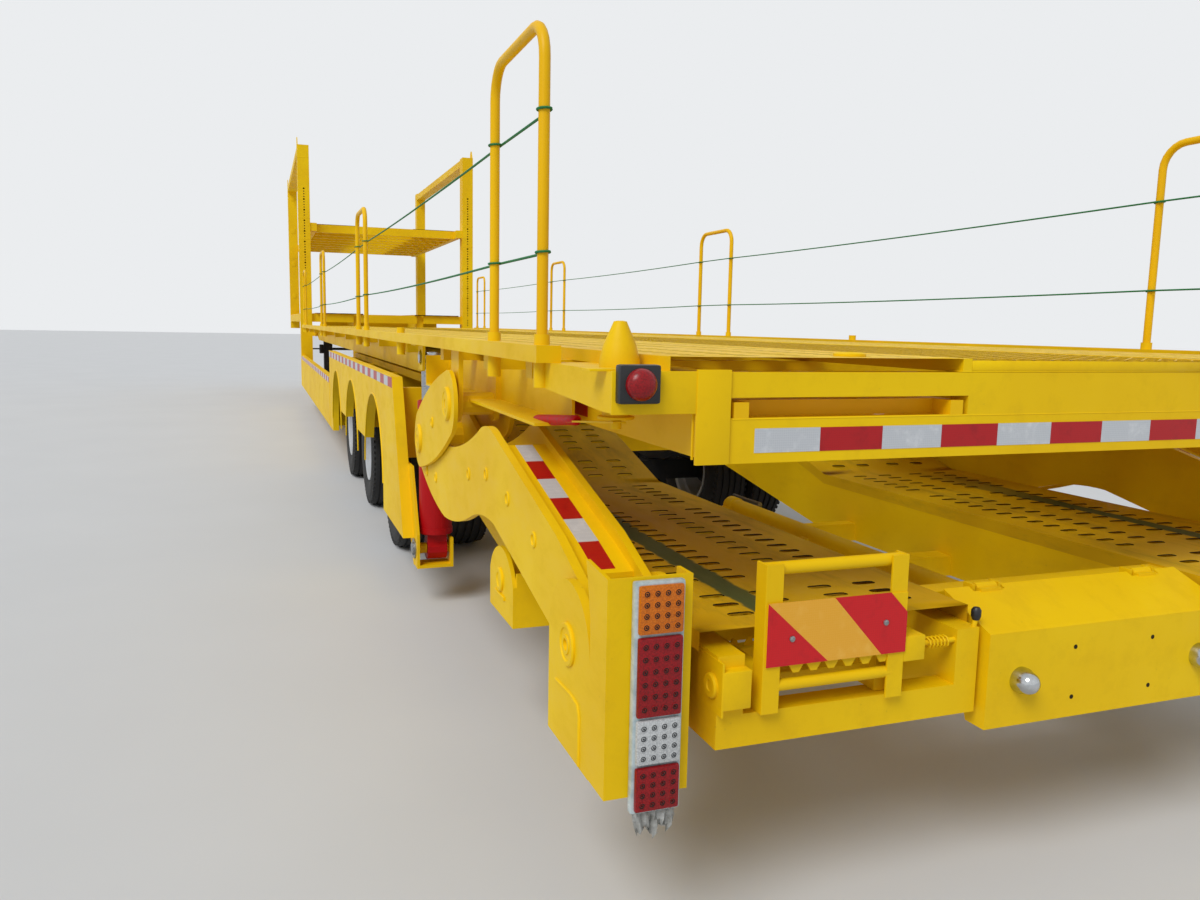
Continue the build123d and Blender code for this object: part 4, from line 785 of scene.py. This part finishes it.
# The number plate holes are shallow dark discs: painted shade where each hole would be.
form = bmesh.new()
for place in plateHole["places"]:
    for side in bothSides:
        addSideTurned(form, side, place, plateHole["ring"], 16, axis=backward)
finishPiece("numberPlateHoles", form, "tail_cover", ["paintedHoleShade"])

# Ramp latches: a bent rod with a black knob, a coil spring and its block.
latch = {
    "radius": 0.006, "rod": [(0.03, 0.58, 0.6), (0.03, 0.42, 0.6), (0.03, 0.395, 0.608), (0.03, 0.387, 0.645)],
    # Spring: radius, wire, where it starts, then how far it goes and turns at each step.
    "coil": (0.012, 0.002, (0.03, 0.52, 0.6), 0.0012, 0.8, 48), "block": ((0.0, 0.06), (0.545, 0.6), (0.575, 0.63)),
    "knobPlace": (0.03, 0.387, 0.64),
    "knob": [(0.008, 0), (0.011, 0.008), (0.011, 0.022), (0.007, 0.028), (0.002, 0.029)]}
form = bmesh.new()
reach, wire, (station, start, height), advance, turn, steps = latch["coil"]
coil = [(station + reach * cos(k * turn), start - k * advance, height + reach * sin(k * turn)) for k in range(steps)]
for side in bothSides:
    addSideTube(form, side, latch["rod"], latch["radius"], 10)
    addSideTube(form, side, coil, wire, 6)
    addSideBox(form, side, *latch["block"], 0.003)
    addSideTurned(form, side, latch["knobPlace"], latch["knob"], 16, 1, upward)
finishPiece("rampLatches", form, "chassis", ["chromeYellowEnamel", "mouldedBlackHousing"])
print("tail cover dressed")

# Deck hoops stand in socket tubes on the deck's edge; one socket on each side is empty.
deckHoop = {
    "first": 0.792, "pitch": 3.8, "count": 4, "width": 0.475, "tube": 0.0135, "top": 1.972, "bend": 0.085,
    "side": 1.243, "foot": 1.2253, "emptySocket": 2.88,
    # Socket tube: outside and bore, foot and height, and how deep its floor shows when full or empty.
    "socket": (0.019, 0.0145), "socketFoot": 1.125, "socketHeight": 0.125, "full": 0.1, "empty": 0.03}


def addSocket(form, x, y, floorRise):
    (outside, bore), high = deckHoop["socket"], deckHoop["socketHeight"]
    profile = [(outside, 0), (outside, high), (bore, high), (bore, floorRise)]
    addTurned(form, (x, y, deckHoop["socketFoot"]), upward, profile, 20)


hoopMiddles = [at(deckHoop["first"] + deckHoop["pitch"] * count) for count in range(deckHoop["count"])]
form, sockets = bmesh.new(), bmesh.new()
for side in bothSides:
    y = side * deckHoop["side"]
    for middle in hoopMiddles:
        half, bend = deckHoop["width"] / 2, deckHoop["bend"]
        arc = [(bend * (1 - cos(radians(t))), bend * sin(radians(t))) for t in range(0, 91, 15)]
        springing = deckHoop["top"] - deckHoop["tube"] - bend
        path = [(middle - half, y, deckHoop["foot"])]
        path += [(middle - half + inward, y, springing + rise) for inward, rise in arc]
        path += [(middle + half - inward, y, springing + rise) for inward, rise in reversed(arc)]
        path += [(middle + half, y, deckHoop["foot"])]
        addTube(form, path, deckHoop["tube"], 16)
        for x in (middle - half, middle + half):
            addSocket(sockets, x, y, deckHoop["full"])
    addSocket(sockets, at(deckHoop["emptySocket"]), y, deckHoop["empty"])
piece = finishPiece("deckHoopTubes", form, "upper_deck", ["hoopTubeEnamel"])
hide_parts("deck_hoops")
finishPiece("hoopSockets", sockets, "upper_deck")

# Ropes pulled tight from hoop to hoop at two heights, with one turn round each leg.
tautRope = {
    "heights": (1.76, 1.44), "radius": 0.0035, "turn": 0.003, "sag": 0.008, "spanOfSag": 3.3, "steps": 8,
    "climb": 0.0005}
form = bmesh.new()
legs = sorted(middle + end * deckHoop["width"] / 2 for middle in hoopMiddles for end in (-1, 1))
turns = [(cos(t * pi / 6), sin(t * pi / 6), tautRope["climb"] * (t - 6)) for t in range(13)]
for side in bothSides:
    y = side * (deckHoop["side"] - deckHoop["tube"] - tautRope["radius"])
    for height in tautRope["heights"]:
        path = []
        for near, far in zip(legs, legs[1:]):
            span = far - near
            sag = tautRope["sag"] * (span / tautRope["spanOfSag"]) ** 2
            for k in range(tautRope["steps"] + (far == legs[-1])):
                share = k / tautRope["steps"]
                path.append((near + span * share, y, height - sag * 4 * share * (1 - share)))
        addTube(form, path, tautRope["radius"], 6)
        reach = deckHoop["tube"] + tautRope["turn"]
        for x in legs:
            wrap = [(x + reach * ahead, side * deckHoop["side"] + reach * out, height + rise)
                    for ahead, out, rise in turns]
            addTube(form, wrap, tautRope["turn"], 6)
finishPiece("hoopRopes", form, "upper_deck", ["braidedRope"])
print("hoops and ropes up")

# Twin wheels: road tyres with ribs and sidewall steps, and pressed wheels with hand holes.
axleStations = {"rear": 3.78, "middle": 5.09, "front": 6.4}
tyre = {
    "radius": 0.395, "pitch": 0.265, "centre": 0.928, "flats": 64, "lug": (0.022, 0.01, 0.018),
    "lugPlace": (0.374, 0.103),
    # Half section from the bead to the crown: (distance from the tyre's middle, radius).
    "section": [(0.088, 0.222), (0.098, 0.228), (0.104, 0.24), (0.112, 0.262), (0.1165, 0.295), (0.1155, 0.325),
        (0.112, 0.345), (0.107, 0.352), (0.106, 0.366), (0.1, 0.378), (0.092, 0.388), (0.07, 0.392), (0.068, 0.383),
        (0.058, 0.383), (0.056, 0.3935), (0.026, 0.3945), (0.024, 0.384), (0.013, 0.384), (0.011, 0.395)]}
# Profiles of the pressed wheel: (radius, distance along the axis).
wheel = {
    "flats": 40, "nuts": (10, 0.126, 0.088), "holes": (8, 0.164, 0.0655), "holeLean": 0.5, "hubBack": 0.145,
    "rim": [(0.222, -0.105), (0.222, -0.098), (0.206, -0.094), (0.2, -0.06), (0.19, -0.05), (0.19, 0.05), (0.2, 0.06),
        (0.206, 0.094), (0.222, 0.098), (0.222, 0.105), (0.218, 0.105), (0.2, 0.099), (0.194, 0.064), (0.184, 0.054),
        (0.184, -0.054), (0.194, -0.064), (0.2, -0.099), (0.218, -0.105), (0.222, -0.105)],
    # Dished disc of the outer wheel with a flat for the nuts, and its back.
    "dish": [(0.186, 0.035), (0.176, 0.05), (0.15, 0.078), (0.14, 0.088), (0.115, 0.092), (0.108, 0.092),
        (0.104, 0.06)],
    "back": [(0.186, -0.02), (0.15, -0.028), (0.108, -0.03)],
    "hub": [(0.095, 0), (0.104, 0.01), (0.104, 0.2), (0.1, 0.235), (0.085, 0.25), (0.08, 0.285), (0.078, 0.305),
        (0.06, 0.31), (0.02, 0.312)],
    "nut": [(0.015, 0), (0.015, 0.016), (0.012, 0.019), (0.008, 0.019), (0.008, 0.032), (0.002, 0.033)],
    "hole": [(0.014, -0.006), (0.014, 0.0), (0.011, -0.001), (0.002, -0.001)]}
wheelMaterials = ["silverWheelEnamel", "blackChassisEnamel", "zincPlate", "mouldedBlackHousing"]
tread = [(radius, off) for off, radius in tyre["section"]]
tread += [(radius, -off) for radius, off in reversed(tread)]
axleHeight = tyre["radius"]
for name, station in axleStations.items():
    for side, word in sideWords:
        form, rims = bmesh.new(), bmesh.new()
        body = f"wheels_{word}_{name}"
        for offset in (-tyre["pitch"] / 2, tyre["pitch"] / 2):
            centre = Vector((at(station), side * tyre["centre"] + offset, axleHeight))
            addTurned(form, centre, (0, 1, 0), tread, tyre["flats"], closeEnds=False)
            addTurned(rims, centre, (0, 1, 0), wheel["rim"], wheel["flats"], closeEnds=False)
            # Shoulder lugs between the cross grooves.
            radius, edge = tyre["lugPlace"]
            for k in range(tyre["flats"]):
                angle = 2 * pi * (k + 0.5) / tyre["flats"]
                for end in (-1, 1):
                    spot = centre + Vector((radius * cos(angle), end * edge, radius * sin(angle)))
                    turned = Matrix.Rotation(-angle, 3, "Y").to_quaternion()
                    lug = Matrix.LocRotScale(spot, turned, Vector(tyre["lug"]))
                    bmesh.ops.create_cube(form, size=1.0, matrix=lug)
        piece = finishPiece(f"roadTyres_{word}_{name}", form, body, ["mouldedTyreRubber"])
        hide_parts(f"tyres_{word}_{name}")

        middle = Vector((at(station), side * tyre["centre"], axleHeight))
        for profile in (wheel["dish"], wheel["back"]):
            addTurned(rims, middle, (0, side, 0), profile, wheel["flats"], closeEnds=False)
        addTurned(rims, middle - Vector((0, side * wheel["hubBack"], 0)), (0, side, 0), wheel["hub"], 36, 1)
        count, radius, out = wheel["nuts"]
        for k in range(count):
            angle = 2 * pi * k / count
            spot = middle + Vector((radius * cos(angle), side * out, radius * sin(angle)))
            addTurned(rims, spot, (0, side, 0), wheel["nut"], 6, 2)
        count, radius, out = wheel["holes"]
        for k in range(count):
            angle = 2 * pi * (k + 0.5) / count
            spot = middle + Vector((radius * cos(angle), side * out, radius * sin(angle)))
            lean = wheel["holeLean"]
            addTurned(rims, spot, (lean * cos(angle), side, lean * sin(angle)), wheel["hole"], 14, 3)
        piece = finishPiece(f"pressedWheels_{word}_{name}", rims, body, wheelMaterials)
        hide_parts(f"wheels_{word}_{name}")
print("wheels mounted")

# Lift cylinders: a smooth barrel with collars, the stage's collar and the rod's eye.
liftCylinder = {
    "station": 2.62, "side": 1.13, "barrel": 0.072, "skin": 0.0015, "bottom": 0.325, "length": 0.6045,
    # Collars: foot, height and how far they stand out.
    "collars": [(0.89, 0.04, 0.006), (0.325, 0.03, 0.004)],
    "stage": [(0.055, 0.0), (0.0605, 0.003), (0.0605, 0.066), (0.052, 0.0705)], "stageFoot": 0.99,
    "eye": [(0.0455, -0.0445), (0.047, -0.042), (0.047, 0.042), (0.0455, 0.0445)], "eyeHeight": 1.122}
for side, word in sideWords:
    x, y, radius = at(liftCylinder["station"]), side * liftCylinder["side"], liftCylinder["barrel"]
    form = bmesh.new()
    for foot, high, extra in liftCylinder["collars"]:
        edge = radius + extra
        collar = [(radius - 0.01, 0.0002), (edge, 0.002), (edge, high - 0.003), (radius - 0.01, high)]
        addTurned(form, (x, y, foot), upward, collar, 40)
    skin = radius + liftCylinder["skin"]
    addTurned(form, (x, y, liftCylinder["bottom"]), upward, [(skin, 0.0), (skin, liftCylinder["length"])], 48)
    finishPiece(f"barrelCollars_{word}", form, f"barrel_{word}", ["redCylinderEnamel"])
    form = bmesh.new()
    addTurned(form, (x, y, liftCylinder["stageFoot"]), upward, liftCylinder["stage"], 40)
    finishPiece(f"stageCollar_{word}", form, f"stage_{word}", ["groundSteel"])
    form = bmesh.new()
    addTurned(form, (x, y - 0.0001, liftCylinder["eyeHeight"]), (0, side, 0), liftCylinder["eye"], 32)
    finishPiece(f"rodEye_{word}", form, f"rod_{word}", ["groundSteel"])

# Washers and pin heads at the cylinders' feet.
footPin = {
    "place": (2.62, 1.2252, 0.255),
    "rings": [(0.045, 0), (0.045, 0.006), (0.03, 0.006), (0.03, 0.012), (0.026, 0.015), (0.006, 0.015)]}
form = bmesh.new()
for side in bothSides:
    addSideTurned(form, side, footPin["place"], footPin["rings"], 32)
finishPiece("cylinderFootPins", form, "chassis", ["zincPlate"])

# Long cylinder tube between the tail runways: smooth barrel on three stools, with end collars, a
# union and the stiff pipe that leaves it.
tailCylinder = {
    "start": (0.26, 0.16, 0.595), "stools": (0.28, 1.01, 1.57), "stoolLength": 0.04, "stoolSide": (0.12, 0.2),
    "stoolHeight": (0.5, 0.594), "pipeRadius": 0.009, "union": (1.5, 0.135, 0.6), "unionAxis": (0.7, -0.7, -0.1),
    "unionRings": [(0.013, 0), (0.013, 0.03), (0.01, 0.034)],
    "barrel": [(0.024, 0), (0.0315, 0.004), (0.0315, 0.05), (0.03, 0.052), (0.03, 1.3), (0.034, 1.302), (0.034, 1.35),
        (0.026, 1.36)],
    "pipe": [(1.5, 0.13, 0.6), (1.58, 0.05, 0.585), (1.7, -0.02, 0.57), (1.85, -0.04, 0.56), (1.96, -0.04, 0.56)]}
form = bmesh.new()
addTurned(form, stationed(tailCylinder["start"]), (1, 0, 0), tailCylinder["barrel"], 36)
for station in tailCylinder["stools"]:
    addSideBox(form, 1, (station, station + tailCylinder["stoolLength"]), tailCylinder["stoolSide"],
               tailCylinder["stoolHeight"], 0.002)
addSideTube(form, 1, tailCylinder["pipe"], tailCylinder["pipeRadius"], 10, 1)
addTurned(form, stationed(tailCylinder["union"]), tailCylinder["unionAxis"], tailCylinder["unionRings"], 6, 2)
piece = finishPiece("tailCylinderBarrel", form, "chassis", ["chromeYellowEnamel", "mouldedBlackHousing", "zincPlate"])
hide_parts("tail_cylinder")

# Gantry: stiffener plates round the columns and tabs on the front ones.
gantry = {
    "columns": (12.9, 17.265), "depth": 0.2, "side": (1.1155, 1.2765), "proud": 0.0015, "plate": 0.012,
    "levels": (1.45, 2.45, 2.75, 3.6), "tabs": (1.7, 2.3, 2.9, 3.5), "tabSide": (1.16, 1.23), "tab": (0.004, 0.09)}
rear, front = gantry["columns"]
thick, high = gantry["tab"]
form = bmesh.new()
for side in bothSides:
    for station in gantry["columns"]:
        stations = (station - gantry["proud"], station + gantry["depth"] + gantry["proud"])
        for z in gantry["levels"]:
            addSideBox(form, side, stations, gantry["side"], (z, z + gantry["plate"]), 0.001)
    for z in gantry["tabs"]:
        addSideBox(form, side, (front - thick, front), gantry["tabSide"], (z, z + high), 0.001)
finishPiece("gantryStiffeners", form, "chassis")

# Ladder of lock holes down the rear columns: small ones in threes between the through holes,
# each with a pressed rim round its dark middle, a thin disc of painted shade where the hole would be.
lockHoles = {
    "first": 1.2575, "pitch": 0.0375, "count": 51, "everyThrough": 4, "side": 1.195,
    "rimRings": [(0.011, -0.001), (0.011, 0.001), (0.009, 0.0015), (0.009, 0.0)],
    "holeShadeRings": [(0.009, -0.002), (0.009, 0.0008)]}
form = bmesh.new()
for side in bothSides:
    for count in range(lockHoles["count"]):
        if count % lockHoles["everyThrough"] == lockHoles["everyThrough"] - 1:
            continue
        place = (rear, lockHoles["side"], lockHoles["first"] + count * lockHoles["pitch"])
        addSideTurned(form, side, place, lockHoles["rimRings"], 10, 0, backward)
        addSideTurned(form, side, place, lockHoles["holeShadeRings"], 10, 1, backward)
finishPiece("gantryLockHoles", form, "chassis", ["chromeYellowEnamel", "paintedHoleShade"])

# Lever with a red grip under the deck's left corner: a flat bar on a pivot bolt with washers.
lever = {
    "pivot": (0.3, 1.15, 1.07), "tip": (0.92, 1.15, 1.01), "thick": 0.004, "widths": (0.03, 0.018), "heel": 0.02,
    "gripShare": 0.1,
    # Washers and bolt: radius, foot and top.
    "stack": [(0.04, 1.074, 1.08), (0.03, 1.08, 1.104), (0.012, 1.052, 1.074)],
    "grip": [(0.009, 0), (0.013, 0.006), (0.0125, 0.05), (0.0145, 0.2), (0.015, 0.33), (0.0125, 0.352),
        (0.005, 0.36)]}
form = bmesh.new()
pivot, tip = [Vector(stationed(lever[end])) for end in ("pivot", "tip")]
run = tip - pivot
rise = run.cross(Vector((0, 1, 0))).normalized() * -lever["thick"]
heel, toe = pivot - Vector((lever["heel"], 0, 0)), tip - run * lever["gripShare"]
wide, narrow = [Vector((0, width / 2, 0)) for width in lever["widths"]]
addPlate(form, [heel - wide, heel + wide, toe + narrow, toe - narrow], rise)
for radius, low, high in lever["stack"]:
    thick = high - low
    washer = [(radius - 0.001, 0), (radius, 0.001), (radius, thick - 0.001), (radius - 0.001, thick)]
    addTurned(form, (pivot.x, pivot.y, low), upward, washer)
addTurned(form, tip - run.normalized() * lever["grip"][-1][1], run, lever["grip"], 20, 1)
finishPiece("deckLever", form, "upper_deck", ["chromeYellowEnamel", "dippedGrip"])

# Weld beads along the skirts' edges, round the wheel arches and up the ends of the well.
skirt = {
    "arch": (1.2755, 0.44, 0.437), "archBead": 0.0045, "bead": 0.004,
    "beads": [[(2.975, 1.2745, 1.014), (7.168, 1.2745, 1.014)], [(7.185, 1.2745, 0.34), (7.185, 1.2745, 0.775)],
        [(12.885, 1.2745, 0.34), (12.885, 1.2745, 0.775)]]}
form = bmesh.new()
outward, height, radius = skirt["arch"]
arch = [(radius * cos(radians(t)), height + radius * sin(radians(t))) for t in range(0, 181, 6)]
for side in bothSides:
    for station in axleStations.values():
        addSideTube(form, side, [(station + x, outward, z) for x, z in arch], skirt["archBead"], 8)
    for bead in skirt["beads"]:
        addSideTube(form, side, bead, skirt["bead"], 8)
finishPiece("skirtEdges", form, "chassis")

# Stitch welds under the deck's edge and beads at its rear corners.
deckWeld = {
    "first": 0.12, "pitch": 0.9, "count": 13, "length": 0.05, "side": (1.2151, 1.2745), "height": (1.1845, 1.1895),
    "radius": 0.003,
    "beads": [[(0.1, 1.063, 1.186), (0.1, 1.063, 1.01)], [(0.092, 0.985, 1.09), (0.092, 0.0, 1.0905)]]}
form = bmesh.new()
for side in bothSides:
    for k in range(deckWeld["count"]):
        station = deckWeld["first"] + deckWeld["pitch"] * k
        addSideBox(form, side, (station, station + deckWeld["length"]), deckWeld["side"], deckWeld["height"], 0.001)
    for bead in deckWeld["beads"]:
        addSideTube(form, side, bead, deckWeld["radius"], 6)
finishPiece("deckWeldBeads", form, "upper_deck")

# Landing legs: crank handle and gear box.
legCrank = {
    "rod": [(14.1, 0.885, 0.842), (14.1, 1.06, 0.842), (14.14, 1.08, 0.8), (14.14, 1.08, 0.62), (14.1, 1.1, 0.59),
        (14.1, 1.2, 0.59)],
    "radius": 0.011, "box": ((14.03, 14.17), (0.885, 0.95), (0.77, 0.91))}
form = bmesh.new()
addSideTube(form, 1, legCrank["rod"], legCrank["radius"])
addSideBox(form, 1, *legCrank["box"], 0.012)
finishPiece("legCrank", form, "chassis", ["blackChassisEnamel"])
print("trim fitted")

# Camera where the photograph was taken: behind the tail's left corner, at chest height, looking
# forward along the trailer.
camera = addObject("camera", bpy.data.cameras.new("camera"))
camera.location = (at(-1.572), 1.870, 1.269)
camera.rotation_euler = [radians(turn) for turn in (82.509, -1.071, -109.949)]
camera.data.lens = 28.04
camera.data.sensor_width = 36
camera.data.clip_end = 200
bpy.context.scene.camera = camera

# Floor of painted plaster, even and matt, with a faint mottle.
material, tree, shader, place = newMaterial("paleFloor", {"Roughness": 0.8})
mottle = addNode(tree, "TexNoise", {"Scale": perSize(900), "Detail": 3.0}, {"Vector": place})
tone = addNode(tree, "ValToRGB", {"stops": [(0.3, "#D0D1D2"), (0.7, "#D3D4D5")]}, {"Fac": mottle["Fac"]})
feed(tree, shader, {"Base Color": tone["Color"]})
floorMesh = bpy.data.meshes.new("floor")
floorReach = 90
corners = [(x * floorReach, y * floorReach, 0) for x, y in ((-1, -1), (1, -1), (1, 1), (-1, 1))]
floorMesh.from_pydata(corners, [], [(0, 1, 2, 3)])
floorMesh.materials.append(material)
floor = addObject("floor", floorMesh)

# Soft daylight: an even sky and one broad, high sun.
world = bpy.data.worlds.new("studio")
bpy.context.scene.world = world
world.use_nodes = True
tree = world.node_tree
background = tree.nodes["Background"]
background.inputs["Color"].default_value = linear("#E9EDF1")
background.inputs["Strength"].default_value = 0.52
backdrop = addNode(tree, "Background", {"Color": linear("#EBEDEF"), "Strength": 1.0})
ray = addNode(tree, "LightPath")
seen = addNode(tree, "Math", {"operation": "MAXIMUM"}, {0: ray["Is Camera Ray"], 1: ray["Is Transmission Ray"]})
seen = addNode(tree, "Math", {"operation": "MAXIMUM"}, {0: seen[0], 1: ray["Is Glossy Ray"]})
blend = addNode(tree, "MixShader", {}, {0: seen[0], 1: background.outputs[0], 2: backdrop[0]})
tree.links.new(blend[0], tree.nodes["World Output"].inputs["Surface"])

sun = addObject("sun", bpy.data.lights.new("sun", "SUN"))
sun.data.energy = 1.9
sun.data.angle = radians(30)
sun.rotation_euler = (radians(-32), radians(-30), 0)

bpy.context.scene.view_settings.view_transform = "Standard"
print("scene ready")
